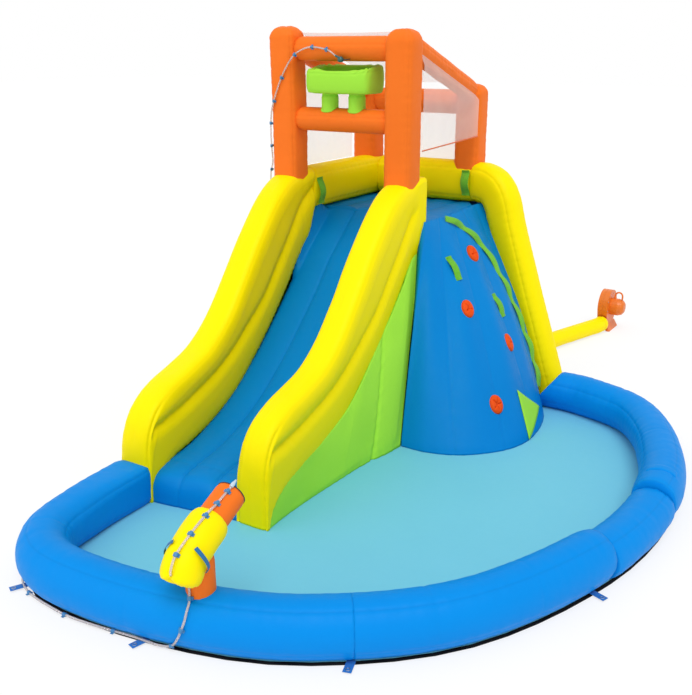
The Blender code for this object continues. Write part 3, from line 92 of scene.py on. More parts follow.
def mix_colour(tree, factor, a, b):
    """A blend of a colour or socket with another colour."""
    mix = add_node(tree, "ShaderNodeMix", data_type="RGBA")
    sockets = {s.identifier: s for s in mix.inputs}
    tree.links.new(factor, sockets["Factor_Float"])
    sockets["B_Color"].default_value = (*b, 1.0)
    if hasattr(a, "is_output"):
        tree.links.new(a, sockets["A_Color"])
    else:
        sockets["A_Color"].default_value = (*a, 1.0)
    return {s.identifier: s for s in mix.outputs}["Result_Color"]


def pattern(tree, kind):
    """An attribute by its name, woven threads by a bare scale, or noise by its settings."""
    if isinstance(kind, str):
        return add_node(tree, "ShaderNodeAttribute", attribute_name=kind).outputs["Fac"]
    coords = add_node(tree, "ShaderNodeTexCoord").outputs["Object"]
    if isinstance(kind, tuple):
        scale, detail, distortion = (*kind, 0.0)[:3]
        node = add_node(tree, "ShaderNodeTexNoise", Scale=scale, Detail=detail,
                        Distortion=distortion)
        tree.links.new(coords, node.inputs["Vector"])
        return node.outputs["Fac"]
    crossed = add_node(tree, "ShaderNodeMath", operation="MULTIPLY")
    for k, direction in enumerate(("DIAGONAL", "Z")):
        wave = add_node(tree, "ShaderNodeTexWave", Scale=kind, bands_direction=direction)
        tree.links.new(coords, wave.inputs["Vector"])
        tree.links.new(wave.outputs["Fac"], crossed.inputs[k])
    return crossed.outputs["Value"]


def ranged(tree, kind, low, high, to_low, to_high):
    node = add_node(tree, "ShaderNodeMapRange", **{
        "From Min": low, "From Max": high, "To Min": to_low, "To Max": to_high})
    tree.links.new(pattern(tree, kind), node.inputs["Value"])
    return node.outputs["Result"]


def surface(name, colour, tints, rough, bumps=(), alpha=None, **sockets):
    """A material whose colour, roughness and height vary over it.

    tints are (pattern, its low, its high, share there, share there, colour), rough and alpha
    (pattern, value at 0.3, value at 0.7), and bumps (pattern, strength, distance).
    """
    mat = bpy.data.materials.new(name)
    mat.use_nodes = True
    tree, shader = mat.node_tree, mat.node_tree.nodes["Principled BSDF"]
    base = colour
    for *spec, other in tints:
        base = mix_colour(tree, ranged(tree, *spec), base, other)
    tree.links.new(base, shader.inputs["Base Color"])
    for socket, spec in (("Roughness", rough), ("Alpha", alpha)):
        if spec:
            tree.links.new(ranged(tree, spec[0], 0.3, 0.7, *spec[1:]), shader.inputs[socket])
    last = None
    for kind, strength, distance in bumps:
        node = add_node(tree, "ShaderNodeBump", Strength=strength, Distance=distance)
        tree.links.new(pattern(tree, kind), node.inputs["Height"])
        if last is not None:
            tree.links.new(last, node.inputs["Normal"])
        last = node.outputs["Normal"]
    if last is not None:
        tree.links.new(last, shader.inputs["Normal"])
    for key, value in sockets.items():
        shader.inputs[key.replace("_", " ")].default_value = value
    return mat


def coated_fabric(name, colour, shade, rough=0.46, dents=0.07):
    """Coated polyester: even colour, soft gloss, fine grain, gentle dents, seams with painted
    crease shade.
    """
    shade = srgb(shade)
    return surface(
        name, srgb(colour),
        # The last tint darkens the colour by the seam attribute: painted crease shade
        [((2.6, 3.0), 0.35, 0.68, 0.0, 0.22, shade), ((38.0, 4.0), 0.45, 0.75, 0.0, 0.10, shade),
         ("seam", 0.0, 1.0, 0.0, 0.40, scaled(shade, 0.72))],
        ((22.0, 3.0), rough - 0.05, rough + 0.08),
        [((7.0, 2.0, 0.4), dents, 0.02), ((55.0, 3.0), 0.10, 0.004),
         ((240.0, 2.0), 0.04, 0.0006)], Specular_IOR_Level=0.08)


def webbing(name, colour):
    colour = srgb(colour)
    return surface(name, colour, [(260.0, 0.0, 1.0, 0.45, 0.0, scaled(colour, 0.55))],
                   ((60.0, 3.0), 0.67, 0.83), [(260.0, 0.5, 0.0012)], Sheen_Weight=0.15)


def net_fabric(name, colour):
    """Fine netting: threads with clear gaps, so that it looks two thirds transparent."""
    colour = srgb(colour)
    return surface(name, colour, [((5.0, 2.0), 0.35, 0.7, 0.0, 0.3, scaled(colour, 0.94))],
                   ((30.0, 2.0), 0.75, 0.9), [(300.0, 0.05, 0.0004)],
                   ((4.0, 2.0, 0.6), 0.31, 0.37), Specular_IOR_Level=0.05)


def clear_hose(name, colour):
    colour = srgb(colour)
    return surface(name, colour, [((40.0, 3.0), 0.3, 0.7, 0.0, 0.3, scaled(colour, 0.90))],
                   ((70.0, 2.0), 0.16, 0.30), Transmission_Weight=0.55)


def moulded(name, colour, rough):
    """Injection-moulded plastic with a fine grain and slightly worn colour."""
    colour = srgb(colour)
    return surface(name, colour, [((11.0, 4.0), 0.35, 0.7, 0.0, 0.35, scaled(colour, 0.80))],
                   ((35.0, 3.0), rough - 0.07, rough + 0.10), [((160.0, 2.0), 0.10, 0.001)])


def brushed_metal(name, colour):
    colour = srgb(colour)
    return surface(name, colour, [((30.0, 4.0), 0.3, 0.7, 0.0, 0.4, scaled(colour, 0.7))],
                   ((90.0, 4.0), 0.28, 0.45), [((400.0, 2.0), 0.06, 0.0006)], Metallic=0.95)


M = {
    "frame_orange": coated_fabric("orange_coat", (246, 120, 38), (238, 106, 24)),
    "tower_yellow": coated_fabric("yellow_coat", (255, 234, 0), (250, 226, 0)),
    "pool_blue": coated_fabric("ring_blue_coat", (0, 138, 224), (0, 129, 215)),
    "slide_blue": coated_fabric("slide_blue_coat", (0, 129, 205), (0, 119, 195)),
    "panel_lime": coated_fabric("lime_coat", (162, 228, 68), (148, 218, 56)),
    "pool_floor_cyan": coated_fabric("floor_cyan_coat", (114, 196, 221), (108, 190, 216),
                                     0.50, 0.03),
    "ground_black": coated_fabric("ground_black_coat", (20, 20, 24), (12, 12, 15), 0.6),
    "grip_red": coated_fabric("grip_coat", (236, 84, 22), (214, 60, 12)),
    "strap_green": webbing("green_webbing", (112, 198, 30)),
    "strap_lime": webbing("lime_webbing", (122, 206, 44)),
    "strap_blue": webbing("blue_webbing", (14, 112, 172)),
    "hem_orange": webbing("orange_webbing", (240, 108, 40)),
    "tab_blue": webbing("tab_webbing", (20, 120, 205)),
    "clip_blue": moulded("clip_plastic", (62, 130, 182), 0.42),
    "net_clear": net_fabric("net_white_mesh", (252, 248, 244)),
    "net_cream": net_fabric("net_cream_mesh", (255, 250, 240)),
    "hose_clear": clear_hose("hose_plastic", (236, 226, 222)),
    "sprayer_teal": moulded("sprayer_plastic", (28, 92, 96), 0.35),
    "nozzle_pale": moulded("nozzle_plastic", (196, 214, 226), 0.25),
    "blower_orange": moulded("blower_plastic", (232, 118, 22), 0.36),
    "blower_dark": moulded("impeller_plastic", (46, 46, 50), 0.45),
    "motor_steel": brushed_metal("motor_metal", (178, 178, 182)),
    "dark_trim": moulded("dark_trim_plastic", (36, 44, 56), 0.5),
}


# Curves and sections

def unit(vectors):
    vectors = np.array(vectors, float)
    return vectors / np.linalg.norm(vectors, axis=-1, keepdims=True)


def tangents(path):
    return unit(np.gradient(np.asarray(path, float), axis=0))


def ramp(value, start, reach):
    """0 up to the start, 1 from a reach beyond it; a negative reach runs the other way."""
    return np.clip((value - start) / reach, 0.0, 1.0)


def bell(distance, width):
    return np.exp(-(distance / width) ** 2)


def lifted(plan, z):
    """Points of a plan, put at a height."""
    return np.column_stack([plan, np.broadcast_to(z, len(plan))])


def keep_above(grid, floor):
    grid[..., 2] = np.maximum(grid[..., 2], floor)
    return grid


def catmull_rom(p0, p1, p2, p3, t):
    return 0.5 * (2 * p1 + (p2 - p0) * t + (2 * p0 - 5 * p1 + 4 * p2 - p3) * t ** 2
                  + (3 * p1 - p0 - 3 * p2 + p3) * t ** 3)


def smooth_through(points, count):
    """A smooth curve through the points, sampled evenly along its length."""
    pts = np.array(points, float)
    padded = np.vstack([2 * pts[0] - pts[1], pts, 2 * pts[-1] - pts[-2]])
    t = np.linspace(0.0, 1.0, 96, endpoint=False)[:, None]
    dense = [catmull_rom(*padded[i - 1:i + 3], t) for i in range(1, len(padded) - 2)]
    dense = np.vstack([*dense, pts[-1:]])
    length = np.concatenate([[0.0], np.cumsum(np.linalg.norm(np.diff(dense, axis=0), axis=1))])
    where = np.linspace(0.0, length[-1], count)
    return np.stack([np.interp(where, length, dense[:, k]) for k in range(pts.shape[1])], axis=1)


def path_length(points):
    return float(np.sum(np.linalg.norm(np.diff(np.array(points, float), axis=0), axis=1)))


def spline_at(ctrl, params, closed=True):
    """Control points read smoothly at fractional indexes."""
    ctrl = np.asarray(ctrl, float)
    count = len(ctrl)
    base = np.floor(params).astype(int)
    picks = [(base + k) % count if closed else np.clip(base + k, 0, count - 1)
             for k in (-1, 0, 1, 2)]
    return catmull_rom(*(ctrl[i] for i in picks), (params - base)[:, None])


def spread(count, seams, per=2, step=0.2):
    """Places round a closed section, closer together by its seams."""
    near = [s + step * k * abs(k) / 3 for s in seams for k in range(-4, 5)]
    values = np.concatenate([np.arange(0, count, 1.0 / per), near]) % count
    values = np.unique(np.round(values, 3))
    keep = [values[0]]
    for value in values[1:]:
        if value - keep[-1] > step * 0.2:
            keep.append(value)
    return np.array(keep)


def nearest(values, target):
    return int(np.argmin(np.abs(np.asarray(values) - target)))


SECTION_POINTS = 24


def seam_places(angles):
    """Places round a section for seams at these angles, and the seams' own indexes."""
    columns = [angle % 360 / 360 * SECTION_POINTS for angle in angles]
    params = spread(SECTION_POINTS, columns)
    return params, [nearest(params, column) for column in columns]


def superellipse(half_width, half_height, power, count):
    """A round section at power 2, and a boxier one above it."""
    angle = 2 * np.pi * np.arange(count) / count
    c, s = np.cos(angle), np.sin(angle)
    exponent = 2.0 / power
    return np.column_stack([half_width * np.sign(c) * np.abs(c) ** exponent,
                            half_height * np.sign(s) * np.abs(s) ** exponent])


def section_at(params, half_width, half_height, power=2.0):
    return spline_at(superellipse(half_width, half_height, power, SECTION_POINTS), params)


def ripple(x, seed):
    """Uneven waves, the same on every run."""
    turn = 2 * np.pi * x
    return (np.sin(turn + seed) + 0.6 * np.sin(1.618 * turn + 2.1 * seed + 1.0)
            + 0.45 * np.sin(0.618 * turn + 0.7 * seed)) / 2.05


def rings_along(path, section, side=None):
    """Rings of section points (side, up) along a path."""
    path = np.array(path, float)
    tangent = tangents(path)
    if side is None:
        across = unit(np.column_stack([tangent[:, 1], -tangent[:, 0], np.zeros(len(path))]))
    else:
        across = np.tile(unit(side), (len(path), 1))
    up = np.cross(across, tangent)
    section = np.asarray(section, float)
    if section.ndim == 2:
        section = np.tile(section, (len(path), 1, 1))
    return path[:, None] + across[:, None] * section[..., :1] + up[:, None] * section[..., 1:]


# Width of the line of painted crease shade along each seam
SEAM_LINE = 0.0045
# Seams, as (depth, width, pucker height, pucker spacing, pucker reach, darkness of the painted
# crease shade along the line)
SEAMS = {
    "ring_upper": (0.003, 0.010, 0.0018, 0.09, 0.06, 0.45),
    "ring_lower": (0.002, 0.010, 0.0012, 0.09, 0.06, 0.15),
    "ring_end": (0.005, 0.018, 0.002, 0.06, 0.07, 0.6),
    "ring_flush_end": (0.001, 0.018, 0.001, 0.06, 0.07, 0.05),
    "ring_baffle": (0.002, 0.012, 0.0014, 0.08, 0.05, 0.10),
    "wall_foot": (0.004, 0.010, 0.0035, 0.05, 0.045, 0.5),
    "wall_shoulder": (0.007, 0.010, 0.0014, 0.07, 0.03, 0.40),
    "bed_channel": (0.003, 0.010, 0.0022, 0.07, 0.04, 0.35),
    "bed_edge": (0.008, 0.03, 0.003, 0.06, 0.04, 0.6),
    "bed_cross": (0.003, 0.012, 0.0015, 0.07, 0.04, 0.3),
    "panel_channel": (0.010, 0.014, 0.003, 0.07, 0.05, 0.4),
    "panel_top": (0.004, 0.012, 0.003, 0.05, 0.05, 0.6),
    "panel_foot": (0.010, 0.03, 0.003, 0.07, 0.05, 0.6),
    "climb_flute": (0.0025, 0.014, 0.0006, 0.10, 0.03, 0.10),
    "climb_foot": (0.006, 0.03, 0.0012, 0.09, 0.04, 0.2),
    "climb_top": (0.008, 0.03, 0.0012, 0.07, 0.04, 0.15),
    "tube_length": (0.003, 0.010, 0.002, 0.06, 0.04, 0.3),
    "tube_end": (0.010, 0.022, 0.002, 0.05, 0.04, 0.6),
    "tube_flush_end": (0.0, 0.022, 0.002, 0.05, 0.04, 0.6),
    "tube_cross": (0.004, 0.012, 0.002, 0.07, 0.05, 0.4),
    "trough_side": (0.003, 0.012, 0.0025, 0.06, 0.03, 0.3),
    "trough_rim": (0.003, 0.012, 0.0035, 0.05, 0.03, 0.4),
    "trough_leg": (0.006, 0.012, 0.003, 0.04, 0.02, 0.3),
    "cannon_lobe": (0.016, 0.020, 0.002, 0.04, 0.03, 0.35),
    "cannon_tail": (0.006, 0.015, 0.003, 0.035, 0.03, 0.6),
    "cannon_front": (0.006, 0.015, 0.002, 0.035, 0.03, 0.6),
    "cannon_waist": (0.004, 0.02, 0.002, 0.04, 0.03, 0.1),
    "cannon_length": (0.002, 0.010, 0.0015, 0.04, 0.02, 0.6),
    "cannon_mouth": (0.004, 0.010, 0.0015, 0.03, 0.02, 0.6),
    "cannon_foot": (0.004, 0.012, 0.002, 0.03, 0.03, 0.6),
    "duct_length": (0.002, 0.010, 0.002, 0.05, 0.03, 0.6),
    "duct_clamp": (0.004, 0.010, 0.003, 0.03, 0.05, 0.8),
    "duct_start": (0.002, 0.012, 0.002, 0.04, 0.04, 0.6),
}


class Sewing:
    """Grooves and puckers pressed into a grid of points along its seams, with painted crease shade
    along them.
    """

    def __init__(self, grid, around=True, outward=None, seed=1.0):
        self.grid, self.around, self.seed = np.array(grid, float), around, seed
        self.normal = self.normals(outward)
        steps = np.linalg.norm(np.diff(self.grid, axis=0), axis=2).mean(axis=1)
        self.run = np.concatenate([[0.0], np.cumsum(steps)])
        ring = np.concatenate([self.grid, self.grid[:, :1]], axis=1) if around else self.grid
        steps = np.linalg.norm(np.diff(ring, axis=1), axis=2)
        girth = np.concatenate([np.zeros((len(ring), 1)), np.cumsum(steps, axis=1)], axis=1)
        self.total = girth[:, -1:]
        self.girth = girth[:, :-1] if around else girth
        self.push = np.zeros(self.grid.shape[:2])
        # Painted crease shade along the seams, later stored as the seam attribute
        self.seam = np.zeros(self.grid.shape[:2])

    def normals(self, outward):
        if self.around:
            padded = np.concatenate([self.grid[:, -1:], self.grid, self.grid[:, :1]], axis=1)
            across = (padded[:, 2:] - padded[:, :-2]) / 2
        else:
            across = np.gradient(self.grid, axis=1)
        normal = np.cross(np.gradient(self.grid, axis=0), across)
        normal /= np.maximum(np.linalg.norm(normal, axis=2), 1e-9)[..., None]
        if outward is None:
            outward = self.grid - self.grid.mean(axis=1, keepdims=True)
        return normal * (np.sign(np.sum(normal * outward)) or 1.0)

    def sew(self, distance, run, kind, share=1.0, mark=None):
        depth, width, height, spacing, reach, dark = SEAMS[kind]
        self.seed += 1.37
        self.push -= share * depth * bell(distance, width)
        self.push += share * height * ripple(run / spacing, self.seed) * np.exp(-distance / reach)
        # The seam line gets painted crease shade, as dark as its mark
        mark = dark if mark is None else mark
        self.seam = np.maximum(self.seam, mark * bell(distance, SEAM_LINE))

    def along(self, column, kind, share=1.0, mark=None):
        """A seam that runs the length of the surface at one column."""
        distance = np.abs(self.girth - self.girth[:, column:column + 1])
        if self.around:
            distance = np.minimum(distance, self.total - distance)
        self.sew(distance, self.run[:, None], kind, share, mark)

    def across(self, share, kind):
        """A seam that runs across the surface at a share of its length."""
        self.sew(np.abs(self.run - share * self.run[-1])[:, None], self.girth, kind)

    def dent(self, amount, spacing, seed):
        """Broad unevenness that a hand-sewn chamber has."""
        self.push += (amount * ripple(self.run[:, None] / spacing, seed)
                      * ripple(self.girth / spacing, seed + 2.2))

    def done(self, floor=-1.0):
        """The pressed grid, kept above a floor, and the painted crease shade over it along the
        seams.
        """
        return keep_above(self.grid + self.normal * self.push[..., None], floor), self.seam


# Meshes and pieces

def close_ends(grid, seam, dome, rows=5):
    """Add rings that close both ends of a tube like a pillow."""
    def end_rows(ring, inner, depth):
        centre = ring.mean(axis=0)
        direction = unit(centre - inner.mean(axis=0))
        turns = [math.pi / 2 * k / rows for k in range(1, rows + 1)]
        return [centre + (ring - centre) * max(math.cos(turn), 0.02)
                + direction * depth * math.sin(turn) for turn in turns]

    start = end_rows(grid[0], grid[1], dome[0])[::-1]
    end = end_rows(grid[-1], grid[-2], dome[1])
    pad = np.zeros((rows, grid.shape[1]))
    return np.concatenate([start, grid, end]), np.concatenate([pad, seam, pad])


def mesh_from_bmesh(name, bm):
    bmesh.ops.recalc_face_normals(bm, faces=bm.faces)
    mesh = bpy.data.meshes.new(name)
    bm.to_mesh(mesh)
    bm.free()
    mesh.shade_smooth()
    return mesh


def mesh_from_grid(name, grid, around=True, caps=True, seam=None):
    rows, columns = grid.shape[:2]
    index = np.arange(rows * columns).reshape(rows, columns)
    right = np.roll(index, -1, axis=1) if around else index[:, 1:]
    left = index if around else index[:, :-1]
    faces = np.stack([left[:-1], right[:-1], right[1:], left[1:]], axis=-1).reshape(-1, 4).tolist()
    if around and caps:
        faces += [index[0][::-1].tolist(), index[-1].tolist()]
    mesh = bpy.data.meshes.new(name)
    mesh.from_pydata(grid.reshape(-1, 3).tolist(), [], faces)
    # The seam attribute carries painted crease shade along seams and folds
    if seam is not None:
        layer = mesh.attributes.new("seam", "FLOAT", "POINT")
        layer.data.foreach_set("value", seam.astype(np.float32).ravel())
    bm = bmesh.new()
    bm.from_mesh(mesh)
    bmesh.ops.recalc_face_normals(bm, faces=bm.faces)
    bm.to_mesh(mesh)
    bm.free()
    mesh.shade_smooth()
    return mesh


def add_object(name, data):
    obj = bpy.data.objects.new(name, data)
    bpy.context.scene.collection.objects.link(obj)
    return obj


def add_piece(name, mesh, finish, body="park", nodes=()):
    """Put a mesh in the scene as a piece that rides on a body."""
    obj = add_object(name, mesh)
    mesh.materials.clear()
    mesh.materials.append(M[finish])
    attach(obj, body)
    if nodes:
        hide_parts(*nodes)
    return obj


def add_tube(name, sewing, finish, nodes, dome, body="park", floor=-1.0):
    grid, seam = close_ends(*sewing.done(), dome)
    mesh = mesh_from_grid(name, keep_above(grid, floor), seam=seam)
    add_piece(name, mesh, finish, body, nodes)


def thicken(obj, thickness, outward):
    """Give an open surface its depth, away from the outward side and not below the ground."""
    total = sum((f.normal * f.area for f in obj.data.polygons), Vector())
    if total.dot(Vector(outward)) < 0:
        obj.data.flip_normals()
    mod = obj.modifiers.new("thickness", "SOLIDIFY")
    mod.thickness = thickness
    mod.offset = -1.0
    seen = bpy.context.evaluated_depsgraph_get()
    solid = bpy.data.meshes.new_from_object(obj.evaluated_get(seen))
    obj.modifiers.clear()
    obj.data = solid
    for vert in solid.vertices:
        vert.co.z = max(vert.co.z, 0.0)


def add_skin(name, sewing, finish, thickness, outward):
    """An open sewn surface in place of the node that its name starts with."""
    grid, seam = sewing.done(STANDING_Z)
    mesh = mesh_from_grid(name + "_skin", grid, around=False, seam=seam)
    thicken(add_piece(name + "_skin", mesh, finish, nodes=(name,)), thickness, outward)


def sweep(name, points, radius, finish, body="park", nodes=(), sides=12, samples=60):
    """A thin round piece, such as a hose, swept along smooth points."""
    path = smooth_through(points, samples)
    angle = 2 * np.pi * np.arange(sides) / sides
    tangent = tangents(path)
    normal = UP if abs(tangent[0][2]) < 0.9 else np.array([1.0, 0.0, 0.0])
    rings = []
    for here, forward in zip(path, tangent):
        normal = unit(normal - forward * (normal @ forward))
        rings.append(here + (np.cos(angle)[:, None] * normal
                             + np.sin(angle)[:, None] * np.cross(forward, normal)) * radius)
    add_piece(name, mesh_from_grid(name, np.array(rings)), finish, body, nodes)


def turned_grid(profile, steps):
    """Points of (radius, z) turned about Z."""
    angle = 2 * np.pi * np.arange(steps) / steps
    return np.stack([np.column_stack([r * np.cos(angle), r * np.sin(angle), np.full(steps, z)])
                     for r, z in np.array(profile, float)])


def add_turned(name, profile, steps, origin, direction, finish, body="park", nodes=()):
    """A turned piece with its axis along a direction; a closed profile makes a ring."""
    closed = tuple(profile[0]) == tuple(profile[-1])
    mesh = mesh_from_grid(name, turned_grid(profile, steps), caps=not closed)
    if closed:
        bm = bmesh.new()
        bm.from_mesh(mesh)
        bmesh.ops.remove_doubles(bm, verts=bm.verts, dist=0.00001)
        bm.to_mesh(mesh)
        bm.free()
    turn = Vector((0, 0, 1)).rotation_difference(Vector(direction)).to_matrix().to_4x4()
    mesh.transform(Matrix.Translation(Vector(origin)) @ turn)
    add_piece(name, mesh, finish, body, nodes)


def ribbon(name, points, width_dir, width, finish, body="park", nodes=(), thickness=0.0028,
           samples=24):
    """Flat webbing whose width lies along a direction, with softened edges."""
    pts = smooth_through(points, samples)
    tangent = tangents(pts)
    wide = np.tile(np.array(width_dir, float), (len(pts), 1)) if np.ndim(width_dir) == 1 \
        else smooth_through(width_dir, len(pts))
    wide = unit(wide - tangent * np.sum(wide * tangent, axis=1)[:, None])
    normal = np.cross(tangent, wide)
    h, t = width / 2, thickness / 2
    edge = h - 0.001
    ring = [(-h, -t * 0.4), (-edge, -t), (0, -t), (edge, -t), (h, -t * 0.4),
            (h, t * 0.4), (edge, t), (0, t), (-edge, t), (-h, t * 0.4)]
    mesh = mesh_from_grid(name, np.stack([pts + wide * a + normal * b for a, b in ring], axis=1))
    mesh.set_sharp_from_angle(angle=math.radians(50))
    add_piece(name, mesh, finish, body, nodes)


def cut_outline(outline, z, steps):
    """A flat face with this outline, cut across in both directions."""
    bm = bmesh.new()
    bm.faces.new([bm.verts.new((x, y, z)) for x, y in outline])
    low, high = np.min(outline, axis=0), np.max(outline, axis=0)
    for axis, step in enumerate(steps):
        along = Vector((axis == 0, axis == 1, 0))
        for value in np.arange(low[axis] + step, high[axis], step):
            bmesh.ops.bisect_plane(bm, geom=bm.verts[:] + bm.edges[:] + bm.faces[:],
                                   plane_co=along * value, plane_no=along)
    return bm, low, high


# The pool ring

RING_ROUTE = [
    (-0.165, -2.560), (-0.130, -2.980), (-0.030, -3.320), (0.265, -3.472), (0.918, -3.410),
    (1.485, -3.190), (2.016, -2.702), (2.354, -1.916), (2.440, -1.168), (2.295, -0.549),
    (2.010, -0.072), (1.600, 0.105), (1.270, 0.130),
]
RING_STATIONS, RING_ROWS, RING_LEAD = 40, 720, 2
RING_SEAMS = {"pool_wall_left": (0, 15), "pool_wall_front": (15, 23),
              "pool_wall_entry": (23, 27), "pool_wall_right": (27, 39)}
RING_SEAM_ANGLES = (59.0, 148.0, -25.0, 205.0)
RING_BAFFLES = {"pool_wall_left": (0.30, 0.62), "pool_wall_front": (0.25, 0.62),
                "pool_wall_right": (0.36, 0.70)}
RING_FLUSH_ENDS = (("pool_wall_left", 1.0), ("pool_wall_front", 0.0))
RING_BOX_REACH, RING_END_CUT = 0.95, 0.14
ENTRY_PUFF = 0.007
ENTRY_BAND, ENTRY_BAND_HALF, ENTRY_BAND_RISE = (2.432, -1.085), 0.034, 0.010
SHEET_STEP, SHEET_THICKNESS = 0.09, 0.0030
TOWER_OUTLINE = [(1.33, 0.42), (0.60, 0.72), (-0.60, 0.72), (-0.60, -0.50), (-0.40, -2.30)]


def ring_edge(margin):
    """Points beside the ring's middle line, one for each station."""
    plan = smooth_through(RING_ROUTE, RING_STATIONS)
    tangent = tangents(plan)
    return plan + np.column_stack([tangent[:, 1], -tangent[:, 0]]) * margin


def ring_sections(name, params, along):
    """Sections along one length of ring: boxy by the slide, a little lower by the entry."""
    half = (RING_HALF_WIDTH, RING_HALF_HEIGHT)
    if name == "pool_wall_entry":
        half = (ENTRY_HALF_WIDTH + 1.6 * ENTRY_PUFF, ENTRY_HALF_HEIGHT + ENTRY_PUFF)
    section = section_at(params, *half, 2.05) - (0.0, RING_HALF_HEIGHT - half[1])
    sections = np.tile(section, (len(along), 1, 1))
    if name == "pool_wall_left":
        box = section_at(params, 0.128, 0.124, 5.0) - (0.0, 0.014)
        blend = (ramp(along, RING_BOX_REACH, -RING_BOX_REACH) ** 1.3)[:, None, None]
        sections = sections * (1 - blend) + box * blend
    if name in ("pool_wall_front", "pool_wall_right"):
        near = along if name == "pool_wall_right" else along[::-1]
        sections *= (1.0 - 0.06 * bell(near, 0.09))[:, None, None]
    return sections


def cut_back_end(grid):
    """The right end's top stops short, where the side tube's foot lies against it."""
    middles = grid.mean(axis=1)
    direction = unit(middles[-1] - middles[-20])
    run = np.linalg.norm(middles - middles[-1], axis=1)
    share = ramp(run, 0.55, -0.55)[:, None] ** 1.5 * ramp(grid[..., 2], 0.05, 0.20)
    grid -= direction * (RING_END_CUT * share)[..., None]


def make_ring():
    line = lifted(smooth_through(RING_ROUTE, RING_ROWS), RING_CENTRE_Z)
    params, indexes = seam_places(RING_SEAM_ANGLES)
    row_length = path_length(line) / (RING_ROWS - 1)
    for name, stations in RING_SEAMS.items():
        first, last = (round(s / (RING_STATIONS - 1) * (RING_ROWS - 1)) for s in stations)
        path = line[max(first - RING_LEAD, 0):last + RING_LEAD + 1]
        along = np.linspace(0.0, row_length * len(path), len(path))
        grid = rings_along(path, ring_sections(name, params, along))
        gap = (int(name != "pool_wall_front"), int(name != "pool_wall_left"))
        grid = grid[min(first, RING_LEAD) + gap[0]:
                    len(grid) - gap[1] - min(RING_ROWS - 1 - last, RING_LEAD)]
        sewing = Sewing(grid, seed=3.0 + first)
        for k, index in enumerate(indexes):
            sewing.along(index, "ring_upper" if k < 2 else "ring_lower")
        for share in (0.0, 1.0):
            flush = (name, share) in RING_FLUSH_ENDS
            sewing.across(share, "ring_flush_end" if flush else "ring_end")
        for share in RING_BAFFLES.get(name, ()):
            sewing.across(share, "ring_baffle")
        sewing.dent(0.003, 0.45, first * 0.1)
        grid, seam = sewing.done()
        if name == "pool_wall_right":
            cut_back_end(grid)
        keep_above(grid, STANDING_Z)
        grid, seam = close_ends(grid, seam, [0.001 + 0.007 * g for g in gap])
        keep_above(grid, STANDING_Z)
        add_piece(name + "_skin", mesh_from_grid(name, grid, seam=seam), "pool_blue",
                  nodes=(name,))
    make_entry_band(line)


def make_entry_band(line):
    """A raised band sewn across the tube's top beside the entry."""
    middle = nearest(np.hypot(line[:, 0] - ENTRY_BAND[0], line[:, 1] - ENTRY_BAND[1]), 0.0)
    tangent = unit(line[middle + 1] - line[middle - 1])
    side = np.array([tangent[1], -tangent[0], 0.0])
    angle = np.radians(np.linspace(50, 128, 61))[None, :, None]
    shift = np.linspace(-1, 1, 25)[:, None, None]
    ends = np.linspace(-1, 1, 61)[None, :, None]
    rise = ENTRY_BAND_RISE * np.sqrt(np.clip(1 - np.abs(shift) ** 3, 0, 1)
                                     * np.clip(1 - np.abs(ends) ** 8, 0, 1)) - 0.002
    grid = (line[middle] + tangent * shift * ENTRY_BAND_HALF
            + side * (RING_HALF_WIDTH + rise) * np.cos(angle)
            + UP * (RING_HALF_HEIGHT + rise) * np.sin(angle))
    mesh = mesh_from_grid("entry_band", grid, around=False)
    thicken(add_piece("entry_band", mesh, "pool_blue"), 0.004, UP)


def make_sheet(node, margin, z, finish):
    """A big sheet on the ground, from outside the ring round the tower's back."""
    outline = np.vstack([ring_edge(margin), TOWER_OUTLINE])
    bm, low, high = cut_outline(outline, z, (SHEET_STEP, SHEET_STEP))
    mesh = mesh_from_bmesh(node + "_laid", bm)
    obj = add_piece(node + "_laid", mesh, finish, nodes=(node,))
    thicken(obj, SHEET_THICKNESS, UP)


# The slide

# Upper and lower edges of the walls' sides, as pairs of (y, z)
WALL_PAIRS = [
    ((-0.42, 1.668), (-0.42, 1.36)), ((-0.56, 1.652), (-0.47, 1.20)),
    ((-0.74, 1.612), (-0.56, 1.10)), ((-0.92, 1.510), (-0.66, 1.015)),
    ((-1.15, 1.305), (-0.79, 0.885)), ((-1.40, 1.035), (-1.04, 0.665)),
    ((-1.60, 0.840), (-1.27, 0.495)), ((-1.80, 0.718), (-1.53, 0.330)),
    ((-2.00, 0.662), (-1.82, 0.235)), ((-2.18, 0.622), (-2.05, 0.195)),
    ((-2.32, 0.565), (-2.20, 0.180)), ((-2.41, 0.480), (-2.305, 0.150)),
    ((-2.460, 0.360), (-2.380, 0.108)), ((-2.475, 0.190), (-2.420, 0.055)),
    ((-2.475, STANDING_Z), (-2.435, STANDING_Z)),
]
# Half a wall's section from the crown down, as (share of the depth, half-width)
WALL_SECTION = [
    (-0.012, 0.0), (-0.010, 0.030), (0.004, 0.066), (0.045, 0.092), (0.115, 0.106),
    (0.21, 0.111), (0.32, 0.107), (0.41, 0.096), (0.472, 0.086), (0.53, 0.095),
    (0.62, 0.104), (0.74, 0.108), (0.86, 0.104), (0.95, 0.094), (1.0, 0.080), (1.005, 0.040),
]
WALL_FOOT, WALL_SHOULDER, WALL_ROWS = 14, 3, 230
WALL_WAIST, WALL_WAIST_HALF_WIDTH = (0.21, 0.74), 0.1095
LEFT_WALL_BULGE = 0.018
